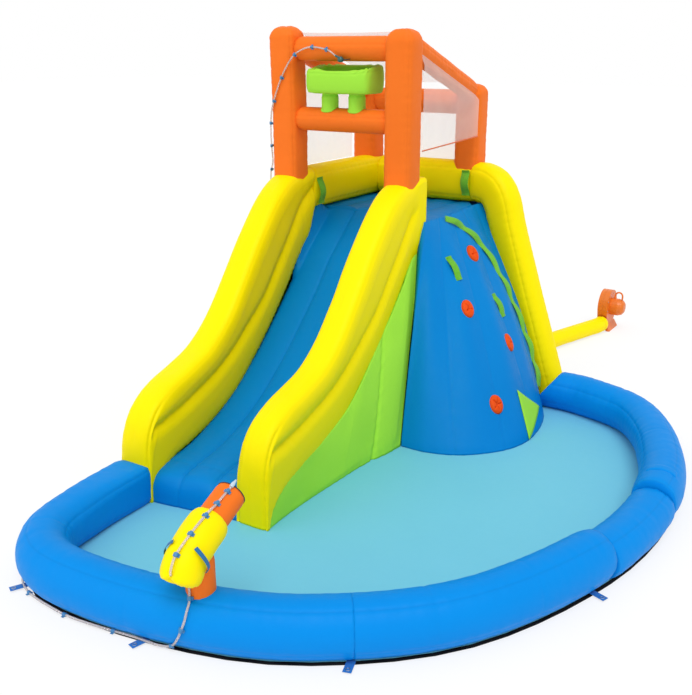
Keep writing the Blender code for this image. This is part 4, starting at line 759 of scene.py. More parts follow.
# Where the groove runs along a wall's sides, as (y, z), down to the nose's corner seam
WALL_GROOVE_LINE = [
    (-0.380, 1.560), (-0.560, 1.440), (-0.680, 1.320), (-0.800, 1.195), (-0.950, 1.050),
    (-1.124, 0.886), (-1.348, 0.740), (-1.547, 0.625), (-1.750, 0.543), (-1.941, 0.495),
    (-2.111, 0.458), (-2.282, 0.436), (-2.434, 0.422),
]
GROOVE_DEPTH, GROOVE_BREADTH = 0.021, 0.042
# The groove's crease: its depth and width, and the darkness and width of its painted shade line
CREASE_DEPTH, CREASE_WIDTH, CREASE_PAINTED_SHADE, CREASE_LINE = 0.010, 0.014, 0.30, 0.006
# The right wall's outer side is a flat upright panel by the post: (shares, half-widths)
WALL_END_Y = -0.50
WALL_END_SHAPE = ([-0.012, -0.010, 0.004, 0.030, 0.060, 0.930, 1.000, 1.005],
                  [0.0, 0.045, 0.095, 0.109, 0.114, 0.114, 0.100, 0.040])


def slide_progress(y):
    return np.maximum(0.0, (SLIDE_TOP_Y - y) / SLIDE_LENGTH)


def slide_y(y, side):
    length = SLIDE_LEFT_LENGTH + (SLIDE_LENGTH - SLIDE_LEFT_LENGTH) * (side + 1) / 2
    return np.where(y > SLIDE_TOP_Y, y, SLIDE_TOP_Y - slide_progress(y) * length)


def wall_centre_x(y, side):
    drift = SLIDE_LEFT_DRIFT if side < 0 else SLIDE_RIGHT_DRIFT
    return side * POST_X + slide_progress(y) * drift


def groove_distance(y, z):
    """How far each point of a wall's side is from the groove."""
    line = smooth_through(WALL_GROOVE_LINE, 160)
    return np.minimum.reduce([np.hypot(y - line_y, z - line_z) for line_y, line_z in line])


def make_slide_wall(name, side):
    tops, bottoms = (smooth_through([pair[k] for pair in WALL_PAIRS], WALL_ROWS) for k in (0, 1))
    half = np.array(WALL_SECTION)
    ctrl = np.vstack([half, (half[1:] * (1, -1))[::-1]])
    feet = (WALL_FOOT, len(ctrl) - WALL_FOOT)
    shoulders = (WALL_SHOULDER, len(ctrl) - WALL_SHOULDER)
    params = spread(len(ctrl), feet + shoulders, per=5, step=0.18)
    share, reach = spline_at(ctrl, params).T
    nose = ramp(np.linspace(0.0, 1.0, WALL_ROWS), 0.775, 0.03)[:, None]
    waist = (share > WALL_WAIST[0]) & (share < WALL_WAIST[1])
    full = np.where(waist, WALL_WAIST_HALF_WIDTH * np.sign(reach), reach)
    y, z = (tops[:, [k]] + (bottoms - tops)[:, [k]] * share for k in (0, 1))
    distance = groove_distance(y, z)
    on_side = ramp(share, 0.08, 0.05) * ramp(share, 0.97, -0.05)
    width = full - np.sign(reach) * on_side * GROOVE_DEPTH * bell(distance, GROOVE_BREADTH)
    flat = np.zeros_like(width)
    if side < 0:
        bulge = LEFT_WALL_BULGE * np.minimum(1.0, -width / 0.09)
        width = np.where(width < 0, width - bulge, width)
    else:
        flat = ramp(y, WALL_END_Y - 0.10, 0.09) * (reach > 0)
        width = width + flat * (np.interp(share, *WALL_END_SHAPE) - width)
    grid = np.stack([wall_centre_x(y, side) + width, slide_y(y, side), z], axis=-1)
    sewing = Sewing(grid, seed=5.0 + side)
    for column in feet:
        sewing.along(nearest(params, column), "wall_foot")
    # The shoulder seams' painted crease shade grows darker towards the nose
    for column in shoulders:
        sewing.along(nearest(params, column), "wall_shoulder", 0.2 + 0.8 * nose, 0.1 + 0.3 * nose)
    crease = on_side * (1.0 - flat)
    sewing.push -= CREASE_DEPTH * bell(distance, CREASE_WIDTH) * crease
    sewing.push += (0.0025 * ripple(sewing.run[:, None] / 0.08, 6.0 + side)
                    * np.exp(-distance / 0.05) * crease)
    # A line of painted shade along the groove's crease
    sewing.seam = np.maximum(sewing.seam, CREASE_PAINTED_SHADE * bell(distance, CREASE_LINE) * crease)
    sewing.dent(0.003, 0.5, 2.0 + side)
    add_tube(name + "_skin", sewing, "tower_yellow", (name,), (0.006, 0.001), floor=STANDING_Z)


BED_ROUTE = [
    (-0.20, 1.362), (-0.34, 1.250), (-0.57, 1.050), (-0.80, 0.850), (-1.05, 0.660),
    (-1.30, 0.490), (-1.55, 0.350), (-1.80, 0.255), (-2.05, 0.200), (-2.30, 0.182),
    (-2.41, 0.158), (-2.455, 0.100), (-2.463, STANDING_Z),
]
BED_CHANNELS, BED_COLUMNS, BED_THICKNESS = 3, 73, 0.03
BED_INSET, BED_SIDE_RISE = 0.070, 0.17


def channel(u, count, power=0.55):
    """0 at the seams between equal channels, 1 at their crests."""
    return np.abs(np.sin(np.pi * u * count)) ** power


def make_slide_bed():
    y, z = smooth_through(BED_ROUTE, 190).T[..., None]
    side = np.linspace(-1, 1, BED_COLUMNS)
    share = (side + 1) / 2
    left, right = wall_centre_x(y, -1) + BED_INSET, wall_centre_x(y, 1) - BED_INSET
    crown = 0.012 * (1 - side ** 2) + 0.020 * (channel(share, BED_CHANNELS) - 0.5)
    last = np.where(side > 0, -0.45, -0.21)
    rise = (BED_SIDE_RISE * ramp(np.abs(side), 0.86, 0.14) ** 1.5
            * ramp(y, -0.72, 0.15) * ramp(y, last, -0.10))
    height = z + crown * ramp(z, 0.05, 0.10) + rise
    grid = np.stack([left + (right - left) * share, slide_y(y, side), height], axis=-1)
    sewing = Sewing(grid, False, (0, -0.5, 1), 9.0)
    for k in range(1, BED_CHANNELS):
        sewing.along(round((BED_COLUMNS - 1) * k / BED_CHANNELS), "bed_channel")
    for column in (0, BED_COLUMNS - 1):
        sewing.along(column, "bed_edge")
    sewing.across(0.89, "bed_cross")
    sewing.dent(0.003, 0.5, 1.0)
    add_skin("slide_bed", sewing, "slide_blue", BED_THICKNESS, (0, -0.5, 1))


# The standing panels

RIGHT_PANEL_FLOOR = [(0.716, -2.462), (0.700, -2.140), (0.719, -1.625), (0.790, -1.125)]
RIGHT_PANEL_SEAM, RIGHT_PANEL_SEAM_TOP = 0.79, 0.66
SLIDE_PANEL_RISE = 0.06


def wall_lower_edge(count):
    edge = smooth_through([pair[1] for pair in WALL_PAIRS], 80)
    edge = edge[(edge[:, 0] > -2.42) & (edge[:, 0] < -0.45)]
    return smooth_through(edge[::-1], count)


def make_panel(node, bottom, top, rows, bulge, flute, seams, finish, outward, lean=None,
               seed=0.0, calm=1.0):
    """A panel blown out between its upright seams, pinched where it meets its neighbours."""
    calm = np.broadcast_to(calm, len(top))
    t = np.linspace(0.0, 1.0, rows)[:, None, None]
    push = calm[:, None] * (bulge * np.sin(np.pi * t) + flute[:, None])
    grid = bottom + (top - bottom) * t + np.array(lean or outward, float) * push
    sewing = Sewing(grid, False, outward, seed)
    for seam in seams:
        sewing.along(round(seam * (len(top) - 1)), "panel_channel")
    sewing.across(1.0, "panel_top")
    sewing.across(0.0, "panel_foot")
    sewing.dent(0.004, 0.4, seed)
    sewing.push *= calm
    add_skin(node, sewing, finish, PANEL_THICKNESS, outward)


def channelled_panel(node, top, rows, bulge, count, crest, **settings):
    """A panel with equal channels that stands straight down to the ground."""
    u = np.linspace(0, 1, len(top))
    make_panel(node, lifted(top[:, :2], STANDING_Z), top, rows, bulge,
               crest * channel(u, count) - 0.006, [k / count for k in range(1, count)],
               **settings)


def make_side_panel_right():
    columns = 181
    share = np.linspace(0, 1, columns)
    bottom = lifted(smooth_through(RIGHT_PANEL_FLOOR, columns), STANDING_Z)
    edge = wall_lower_edge(columns)
    above = np.interp(share, (0.0, RIGHT_PANEL_SEAM, 1.0), (0.0, RIGHT_PANEL_SEAM_TOP, 1.0))
    y, z = (np.interp(above, share, edge[:, k]) for k in (0, 1))
    top = np.column_stack([wall_centre_x(y, 1) + 0.096, slide_y(y, 1), z + SLIDE_PANEL_RISE])
    crest = np.zeros(columns)
    for a, b in ((0.0, RIGHT_PANEL_SEAM), (RIGHT_PANEL_SEAM, 1.0)):
        inside = (share >= a) & (share <= b)
        crest[inside] = np.sin(np.pi * (share[inside] - a) / (b - a)) ** 0.7
    make_panel("side_panel_right", bottom, top, 60, 0.014, 0.016 * crest, [RIGHT_PANEL_SEAM],
               "panel_lime", (1, 0, 0), (1, -0.15, 0.1), 11.0,
               ramp(top[:, 2], 0.10, 0.35) * ramp(share, 1.0, -0.06))


def make_side_panel_left():
    y, z = wall_lower_edge(140).T
    front = np.column_stack([wall_centre_x(y, -1) - 0.094, slide_y(y, -1), z + SLIDE_PANEL_RISE])
    back = [(-POST_X - 0.094, y, RAIL_Z - 0.10) for y in np.linspace(-0.40, POST_Y + 0.075, 61)]
    channelled_panel("side_panel_left", np.vstack([front, back]), 50, 0.012, 6, 0.014,
                     finish="panel_lime", outward=(-1, 0, 0), seed=12.0)


def make_back_panel():
    path = side_tube_path(40)[0]
    tower = [(x, POST_Y + 0.085, RAIL_Z - 0.10) for x in (-POST_X - 0.02, -0.2, 0.1, 0.40)]
    wing = [(x, y + 0.05, z - 0.05) for x, y, z in path[6:-5:4] if z > 0.10]
    channelled_panel("back_panel", smooth_through(tower + wing, 181), 44, 0.010, 7, 0.016,
                     finish="slide_blue", outward=(0.2, 1, 0), lean=(0, 1, 0), seed=14.0)


# The climbing wall

CLIMB_FLOOR = [
    (0.792, -1.122), (0.980, -1.118), (1.190, -1.035), (1.380, -0.840),
    (1.465, -0.620), (1.462, -0.360), (1.405, -0.120), (1.320, 0.050), (1.220, 0.250),
]
CLIMB_TOP = [(0.585, -0.450, 1.372), (0.575, -0.010, 1.372), (0.570, 0.420, 1.378),
             (0.700, 0.480, 1.385)]
CLIMB_BULGE, CLIMB_CREST, CLIMB_FLUTES, CLIMB_COLUMNS = 0.030, 0.018, 5, 257
CLIMB_OUTWARD = (1, -0.4, 0.3)
CLIMB_FLOOR_LINE = lifted(smooth_through(CLIMB_FLOOR, CLIMB_COLUMNS), STANDING_Z)
CLIMB_TOP_LINE = smooth_through(CLIMB_TOP, CLIMB_COLUMNS)


def climb_outward(u):
    angle = np.radians(-75 + 125 * u)
    return np.stack([np.cos(angle), np.sin(angle), np.full_like(angle, 0.35)], axis=-1)


def climb_push(u, v):
    crest = 0.5 - 0.5 * np.cos(2 * np.pi * CLIMB_FLUTES * u)
    return (CLIMB_BULGE + CLIMB_CREST * crest) * np.sin(np.pi * np.clip(v, 0.0, 1.0))


def climb_point(u, v):
    index = np.array([u * (CLIMB_COLUMNS - 1)])
    low, high = (spline_at(line, index, False)[0] for line in (CLIMB_FLOOR_LINE, CLIMB_TOP_LINE))
    return low + (high - low) * v + climb_outward(np.array(u)) * climb_push(u, v)


def climb_frame(u, v):
    """A point of the wall, with the directions out of it, along it and up it."""
    along = unit(climb_point(min(u + 0.02, 1), v) - climb_point(max(u - 0.02, 0), v))
    up = unit(climb_point(u, v + 0.02) - climb_point(u, v - 0.02))
    return climb_point(u, v), unit(np.cross(along, up)), along, up


def make_climbing_wall():
    u = np.linspace(0, 1, CLIMB_COLUMNS)
    v = np.linspace(0, 1, 110)[:, None]
    grid = (CLIMB_FLOOR_LINE + (CLIMB_TOP_LINE - CLIMB_FLOOR_LINE) * v[..., None]
            + climb_outward(u) * climb_push(u, v)[..., None])
    sewing = Sewing(grid, False, CLIMB_OUTWARD, 21.0)
    # The flute seams carry painted shade in their valleys
    for k in range(1, CLIMB_FLUTES):
        sewing.along(round((CLIMB_COLUMNS - 1) * k / CLIMB_FLUTES), "climb_flute")
    sewing.across(0.0, "climb_foot")
    sewing.across(1.0, "climb_top")
    sewing.dent(0.002, 0.5, 4.0)
    add_skin("climbing_wall", sewing, "slide_blue", PANEL_THICKNESS, CLIMB_OUTWARD)


# The tower's rails, side tube and deck

RAIL_SEAMS, RAIL_POWER = (38, 142, 218, 322), 2.6
SIDE_TUBE_START, SIDE_TUBE_FOOT = (0.500, 0.555), (1.300, 0.300)
SIDE_TUBE_ROUTE = [
    (0.000, 1.520), (0.090, 1.518), (0.185, 1.485), (0.262, 1.385), (0.325, 1.200),
    (0.475, 0.820), (0.615, 0.480), (0.742, 0.170), (0.862, -0.130),
]
SIDE_TUBE_ROWS = 158
DECK_OUTLINE = [
    (-0.495, -0.225), (0.430, -0.225), (0.480, -0.405), (0.555, -0.405),
    (0.548, 0.000), (0.522, 0.420), (0.400, 0.590), (-0.495, 0.590),
]
DECK_CHANNELS, DECK_CREST = 5, 0.012


def side_tube_path(count):
    """Points down the side tube, and the level direction that it runs in."""
    along = unit(np.subtract(SIDE_TUBE_FOOT, SIDE_TUBE_START))
    route = smooth_through(SIDE_TUBE_ROUTE, count)
    return np.column_stack([SIDE_TUBE_START + along * route[:, :1], route[:, 1]]), along


def box_tube(node, path, half, power, finish, seams, seed, dome, side=None, cross=(),
             floor=-1.0, taper=1.0, mark=None, pinched=True):
    """An inflated tube with lengthwise seams at these angles."""
    params, indexes = seam_places(seams)
    rows = np.tile(section_at(params, *half, power), (len(path), 1, 1)) * taper
    sewing = Sewing(rings_along(path, rows, side), seed=seed)
    for index in indexes:
        sewing.along(index, "tube_length", mark=mark)
    if pinched:
        sewing.across(0.0, "tube_end")
        sewing.across(1.0, "tube_end")
    else:
        sewing.across(0.0, "tube_flush_end")
    for share in cross:
        sewing.across(share, "tube_cross")
    sewing.dent(0.003, 0.4, seed)
    add_tube(node + "_skin", sewing, finish, (node,), dome, floor=floor)


def make_rails():
    shape = ((RAIL_HALF_WIDTH, RAIL_HALF_HEIGHT), RAIL_POWER, "tower_yellow", RAIL_SEAMS)
    left = [(-POST_X, y, RAIL_Z) for y in np.linspace(-0.412, POST_Y + 0.110, 90)]
    box_tube("rail_left", left, *shape, 2.0, (0.006, 0.006))
    back = [(x, POST_Y - 0.005, RAIL_Z) for x in
            np.linspace(-POST_X + 0.112, SIDE_TUBE_START[0], 90)]
    box_tube("rail_back", back, *shape, 3.0, (0.006, 0.004), cross=(0.04,))
    path, along = side_tube_path(170)
    shrink = 1.0 - SIDE_TUBE_HALF / RAIL_HALF_HEIGHT
    taper = np.ones((SIDE_TUBE_ROWS, 1, 2))
    taper[:, 0, 1] -= shrink * ramp(np.linspace(0, 1, SIDE_TUBE_ROWS), 0.0, 0.2)
    box_tube("side_tube_right", path[:SIDE_TUBE_ROWS], *shape, 4.0, (0.004, 0.001),
             (along[1], -along[0], 0.0), (0.022,), STANDING_Z, taper)


def make_deck():
    """The platform, with channels that run from the slide to the back."""
    bm, low, high = cut_outline(DECK_OUTLINE, DECK_TOP, (0.012, 0.025))
    for vert in bm.verts:
        share = (vert.co.x - low[0]) / (high[0] - low[0])
        vert.co.z += (DECK_CREST * channel(share, DECK_CHANNELS, 0.6) - 0.008
                      + 0.003 * ripple(vert.co.y / 0.3, 1.0))
    obj = add_piece("deck_skin", mesh_from_bmesh("deck_skin", bm), "slide_blue",
                    nodes=("deck",))
    thicken(obj, DECK_THICKNESS - DECK_CREST, UP)


# The frame over the platform

POST_LEAN = -0.014
POST_ROWS = 90
SLOPE_BEND = ((-0.068, 0.012), (-0.026, -0.030), (-0.006, -0.080), (0.0, -0.130))
TUBE_OVERLAP = 0.012
SIDE_NET_TOP_REACH = 0.066
NET_HEM_FRONT_Z, NET_HEM_RISE = 1.845, 0.025
INNER_Y = POST_Y - POST_HALF


def frame_x(sign, y):
    return sign * POST_X + BACK_POST_SHIFT * (y + POST_Y) / (2 * POST_Y)


def slope_z(y):
    return SLOPE_FRONT_Z + (SLOPE_BACK_Z - SLOPE_FRONT_Z) * (y + POST_Y) / (2 * POST_Y)


def make_posts():
    """Square inflated posts with rounded tops; the left front one leans out a little."""
    phi = np.radians(np.linspace(0, 90, 18))[1:]
    for place, top in POST_TOPS.items():
        front = place.startswith("front")
        y = -POST_Y if front else POST_Y
        x = frame_x(-1 if place.endswith("left") else 1, y)
        foot, rounding = (1.585, 0.082) if front else (1.600, 0.080)
        z = np.concatenate([np.linspace(foot, top - rounding, POST_ROWS),
                            top - rounding + rounding * np.sin(phi)])
        scale = np.concatenate([np.ones(POST_ROWS),
                                1 - rounding / POST_HALF * (1 - np.cos(phi))])
        lean = POST_LEAN * ramp(z, 2.05, 0.50) * (place == "front_left")
        box_tube(f"post_{place}", np.column_stack([x + lean, np.full(len(z), y), z]),
                 (POST_HALF, POST_HALF), 4.0, "frame_orange", (45, 135, 225, 315), x * 7 + y,
                 (0.002, 0.002), (1, 0, 0), taper=scale[:, None, None], mark=0.06,
                 pinched=False)


def make_frame_tubes():
    across = {"frame_tube_front_top": (-POST_Y, UPPER_CROSS_Z, CROSS_RADIUS),
              "frame_tube_front_middle": (-POST_Y, LOWER_CROSS_Z, CROSS_RADIUS),
              "frame_tube_back": (POST_Y, BACK_BAR_Z, BACK_BAR_RADIUS)}
    reach = POST_HALF - TUBE_OVERLAP
    for node, (y, z, radius) in across.items():
        path = [(x, y, z) for x in np.linspace(frame_x(-1, y) + reach, frame_x(1, y) - reach, 80)]
        box_tube(node, path, (radius, radius), 2.0, "frame_orange", (200, 20), z,
                 (0.004, 0.004), mark=0.25)
    for side, sign in (("left", -1), ("right", 1)):
        start = Vector((frame_x(sign, -POST_Y), -POST_Y, SLOPE_FRONT_Z))
        end = Vector((frame_x(sign, POST_Y), POST_Y, SLOPE_BACK_Z))
        route = [tuple(start.lerp(end, t)) for t in (0.078, 0.35, 0.62, 0.88)]
        route += [(end.x, end.y + dy, end.z + dz) for dy, dz in SLOPE_BEND]
        box_tube(f"frame_tube_slope_{side}", smooth_through(route, 140),
                 (SLOPE_RADIUS, SLOPE_RADIUS), 2.0, "frame_orange", (15, 165), 5.0 + sign,
                 (0.002, 0.002), (1, 0, 0), mark=0.2, pinched=False)


def make_nets():
    drop = math.sqrt(SLOPE_RADIUS ** 2 - SIDE_NET_TOP_REACH ** 2)
    low, high = POST_HALF - 0.004, SIDE_NET_TOP_REACH
    for name, sign, front_z, back_z, finish in (("net_right", 1, 1.845, 1.870, "net_clear"),
                                                ("net_left", -1, 1.66, 1.66, "net_cream")):
        places = ((-INNER_Y, high, slope_z(-INNER_Y) - drop), (-INNER_Y, low, front_z),
                  (INNER_Y, low, back_z), (INNER_Y, high, slope_z(INNER_Y) - drop))
        make_net(name, [(frame_x(sign, y) + sign * reach, y, z) for y, reach, z in places],
                 (sign, 0, 0), finish, sign * (low - high))
    reach = POST_HALF - TUBE_OVERLAP
    left, right = frame_x(-1, POST_Y) + reach, frame_x(1, POST_Y) - reach
    y = POST_Y + POST_HALF + 0.0015
    make_net("net_back", [(left, y, 2.08), (left, y, 1.66), (right, y, 1.66), (right, y, 2.08)],
             (0, 1, 0), "net_cream")
    make_roof_net()
    # The orange tape along the right net's lower edge
    hem = [(frame_x(1, y) + POST_HALF - 0.003, y,
            NET_HEM_FRONT_Z + NET_HEM_RISE * (y + INNER_Y) / (2 * INNER_Y))
           for y in np.linspace(-INNER_Y, INNER_Y, 8)]
    sweep("net_right_hem", hem, 0.0045, "hem_orange", sides=8, samples=24)


def add_net(node, grid, finish):
    mesh = mesh_from_grid(node + "_mesh", grid, around=False)
    return add_piece(node + "_mesh", mesh, finish, nodes=(node,))


def make_net(node, corners, outward, finish, spring=0.0):
    """A hung net with soft folds between its four corners."""
    top_a, low_a, low_b, top_b = (np.array(p, float) for p in corners)
    u = np.linspace(0, 1, 49)[None, :, None]
    v = np.linspace(0, 1, 33)[:, None, None]
    flat = (top_a * (1 - u) + top_b * u) * (1 - v) + (low_a * (1 - u) + low_b * u) * v
    slack = (0.006 * np.sin(np.pi * u) * np.sin(np.pi * v)
             * (1 + 0.6 * ripple(u * 2 + v * 1.6, 2.0)))
    grid = flat + np.array(outward, float) * slack
    grid[..., 0] += spring * (ramp(v[..., 0], 0.0, 0.12) - v[..., 0])
    add_net(node, grid, finish)


def make_roof_net():
    y = np.linspace(-POST_Y + 0.03, POST_Y - 0.03, 41)[:, None]
    t = np.linspace(-1, 1, 33)
    left, right = frame_x(-1, y) + 0.075, frame_x(1, y) - 0.075
    sag = (0.006 + 0.002 * ripple(y * 3.0, 1.0)) * (1 - t ** 2)
    grid = np.stack([left + (right - left) * (t + 1) / 2, y + 0 * t,
                     slope_z(y) + 0.070 - sag], axis=-1)
    add_net("net_roof", grid, "net_clear")


# Straps, grips and trim

GRIP_PLACES = [(0.49, 0.80), (0.33, 0.58), (0.57, 0.39), (0.39, 0.18)]
GRIP_RADIUS, GRIP_HEIGHT, GRIP_STEPS = 0.055, 0.022, 72
WALL_HANDLE_PLACES = [(0.28, 0.76), (0.58, 0.55)]
STRAP_PLACES = [
    (0.28, 0.985), (0.48, 0.92), (0.64, 0.82), (0.71, 0.67), (0.79, 0.53), (0.84, 0.36),
    (0.87, 0.22), (0.86, 0.10),
]
STRAP_TURN = np.array([-0.843, -0.537, 0.0])
GUSSET_CORNERS = np.array([(0.518, 0.205), (0.698, 0.075), (0.523, 0.004)])
GUSSET_ROWS = 14
# Each tab's place on the ground, and the way that it points
ANCHOR_TABS = {
    "anchor_tab_front_left": ((0.045, -3.500), (-0.45, -0.89)),
    "anchor_tab_front": ((0.840, -3.495), (-0.25, -0.97)),
    "anchor_tab_front_right": ((1.680, -3.135), (0.30, -0.95)),
    "anchor_tab_right": ((2.375, -2.085), (0.94, -0.34)),
}


def make_grips():
    """Round sewn-on grips: a puffed disc gathered into folds round its middle."""
    angle = 2 * np.pi * np.arange(GRIP_STEPS) / GRIP_STEPS
    r = np.linspace(0.04, 1.0, 26)[:, None]
    puff = GRIP_HEIGHT * np.sqrt(np.maximum(1 - r ** 4, 0.0)) - 0.010 * bell(r, 0.22)
    for number, (u, v) in enumerate(GRIP_PLACES, 1):
        point, normal, _, up = climb_frame(u, v)
        folds = 0.5 + 0.5 * np.cos(5 * angle + 0.7 * np.sin(2 * angle + number))
        height = puff - 0.010 * bell(1 - folds, 0.10) * ramp(r, 0.78, -0.3)
        disc = np.stack([GRIP_RADIUS * r * np.cos(angle), GRIP_RADIUS * r * np.sin(angle),
                         height], axis=-1)
        disc = np.concatenate([disc, disc[-1:] * (1, 1, 0) - (0, 0, GRIP_HEIGHT)])
        # Painted shade in the folds, stored in the seam attribute
        crease = np.zeros(disc.shape[:2])
        crease[:-1] = bell(1 - folds, 0.06) * ramp(r, 0.75, -0.2)
        grid = (point - normal * 0.002 + np.cross(up, normal) * disc[..., :1] * 0.95
                + up * disc[..., 1:2] * 1.22 + normal * disc[..., 2:])
        name = f"climb_grip_{number}"
        add_piece(name + "_skin", mesh_from_grid(name + "_skin", grid, seam=crease),
                  "grip_red", nodes=(name,))


def stitch_box(name, middle, along, normal, length, width, finish="strap_green"):
    """A small box of raised stitching that holds a strap down."""
    along = unit(along)
    side = unit(np.cross(normal, along))
    points = [middle + along * a * length / 2 + side * b * width / 2
              for a, b in ((-1, -1), (1, -1), (1, 1), (-1, 1), (-1, -1))]
    path = np.vstack([np.linspace(p, q, 7)[:-1] for p, q in zip(points, points[1:])])
    sweep(name, path, 0.0008, finish, sides=6, samples=48)


def handle_strap(node, start, end, normal, bow, width, turn=(0.0, 0.0, 0.0)):
    """A strap sewn down at both ends that stands off the surface between them."""
    start, end, normal = (np.array(v, float) for v in (start, end, normal))
    points = []
    for t in np.linspace(0, 1, 11):
        arch = math.sin(math.pi * (t - 0.12) / 0.76) if 0.12 < t < 0.88 else 0.0
        points.append(start + (end - start) * t + normal * (0.005 + bow * max(0.0, arch)))
    across = unit(np.cross(end - start, normal)) + turn
    name = node + "_strap"
    ribbon(name, points, across, width, "strap_green", nodes=(node,), samples=60)
    for k, t in enumerate((0.06, 0.94), 1):
        stitch_box(f"{name}_stitch_{k}", start + (end - start) * t + normal * 0.0072,
                   end - start, normal, 0.012, width * 0.8)


def make_handles():
    for number, (u, v) in enumerate(WALL_HANDLE_PLACES, 1):
        point, normal, along, up = climb_frame(u, v)
        slant = up * 0.098 - along * 0.035
        handle_strap(f"wall_handle_{number}", point + slant, point - slant, normal, 0.016,
                     0.048, (-0.70, -0.45, 0.0))
    handle_strap("rail_handle_left", (-POST_X + 0.112, -0.372, 1.600),
                 (-POST_X + 0.112, -0.350, 1.405), (0.95, -0.30, 0), 0.03, 0.052)
    handle_strap("rail_handle_back", (0.446, POST_Y - 0.119, 1.615),
                 (0.454, POST_Y - 0.119, 1.425), (0, -1, 0), 0.03, 0.064)


def make_climbing_strap():
    points, wides = [], []
    frames = [climb_frame(u, v)[:2] for u, v in STRAP_PLACES]
    for (here, normal), (ahead, next_normal) in zip(frames, frames[1:]):
        for t in np.linspace(0, 1, 8, endpoint=False):
            out = normal + (next_normal - normal) * t
            lift = 0.006 + 0.018 * math.sin(math.pi * t) ** 1.3
            points.append(here + (ahead - here) * t + out * lift)
            wides.append(unit(np.cross(ahead - here, out))
                         + STRAP_TURN * (0.3 + math.sin(math.pi * t)))
    points.append(frames[-1][0] + frames[-1][1] * 0.006)
    wides.append(wides[-1])
    ribbon("climbing_strap_webbing", points, np.array(wides), 0.044, "strap_lime",
           nodes=("climbing_strap",), samples=220)
    for k, (here, normal) in enumerate(frames):
        j = min(k, len(frames) - 2)
        stitch_box(f"climbing_strap_stitch_{k + 1}", here + normal * 0.0075,
                   frames[j + 1][0] - frames[j][0], normal, 0.016, 0.032, "strap_lime")


def make_gusset():
    """The lime corner patch sewn across the climbing wall's foot."""
    bm, grid = bmesh.new(), {}
    for i in range(GUSSET_ROWS + 1):
        for j in range(GUSSET_ROWS + 1 - i):
            u, v = np.array([GUSSET_ROWS - i - j, i, j]) / GUSSET_ROWS @ GUSSET_CORNERS
            point, normal = climb_frame(u, v)[:2]
            grid[i, j] = bm.verts.new(tuple(point + normal * 0.006))
    for i in range(GUSSET_ROWS):
        for j in range(GUSSET_ROWS - i):
            bm.faces.new((grid[i, j], grid[i + 1, j], grid[i, j + 1]))
            if j < GUSSET_ROWS - i - 1:
                bm.faces.new((grid[i + 1, j], grid[i + 1, j + 1], grid[i, j + 1]))
    obj = add_piece("wall_gusset", mesh_from_bmesh("wall_gusset", bm), "panel_lime")
    thicken(obj, 0.003, (1, -0.3, 0.3))


def make_anchor_tabs():
    turns = [math.pi * k / 4 for k in range(8)]
    eyelet = [(0.009 + 0.0022 * math.cos(t), 0.0012 * math.sin(t)) for t in turns]
    for name, (place, outward) in ANCHOR_TABS.items():
        out = np.array([*outward, 0.0])
        start = np.array([*place, STANDING_Z + 0.0016]) + out * 0.006
        ribbon(name + "_webbing", [start + out * d for d in (0.0, 0.03, 0.06, 0.086)],
               (out[1], -out[0], 0.0), 0.040, "tab_blue", nodes=(name,), thickness=0.0022)
        add_turned(name + "_eyelet", eyelet + eyelet[:1], 20, start + out * 0.066 + UP * 0.0012,
                   UP, "motor_steel")


# The tipping trough

TROUGH_HALF_X, TROUGH_FRONT, TROUGH_BACK = 0.252, -0.700, -0.425
TROUGH_LOW, TROUGH_HIGH, TROUGH_WALL, TROUGH_BACK_RISE = 2.205, 2.372, 0.045, 0.020
TROUGH_LEG_X, TROUGH_LEG_Y, TROUGH_LEG_RADIUS = 0.108, -0.580, 0.058
TROUGH_MIDDLE_Y = (TROUGH_FRONT + TROUGH_BACK) / 2
TROUGH_STEPS, TROUGH_ROWS = 120, 90
# The outside as (scale, rise), and the inside as (shrink, rise)
TROUGH_OUTER = [(0.10, 0.0), (0.55, 0.0), (0.84, 0.003), (0.95, 0.020), (0.99, 0.050),
                (1.0, 0.085), (0.99, 0.125), (0.955, 0.153)]
TROUGH_INNER = [(0.004, 0.155), (0.0, 0.130), (0.002, 0.070), (0.012, 0.052)]


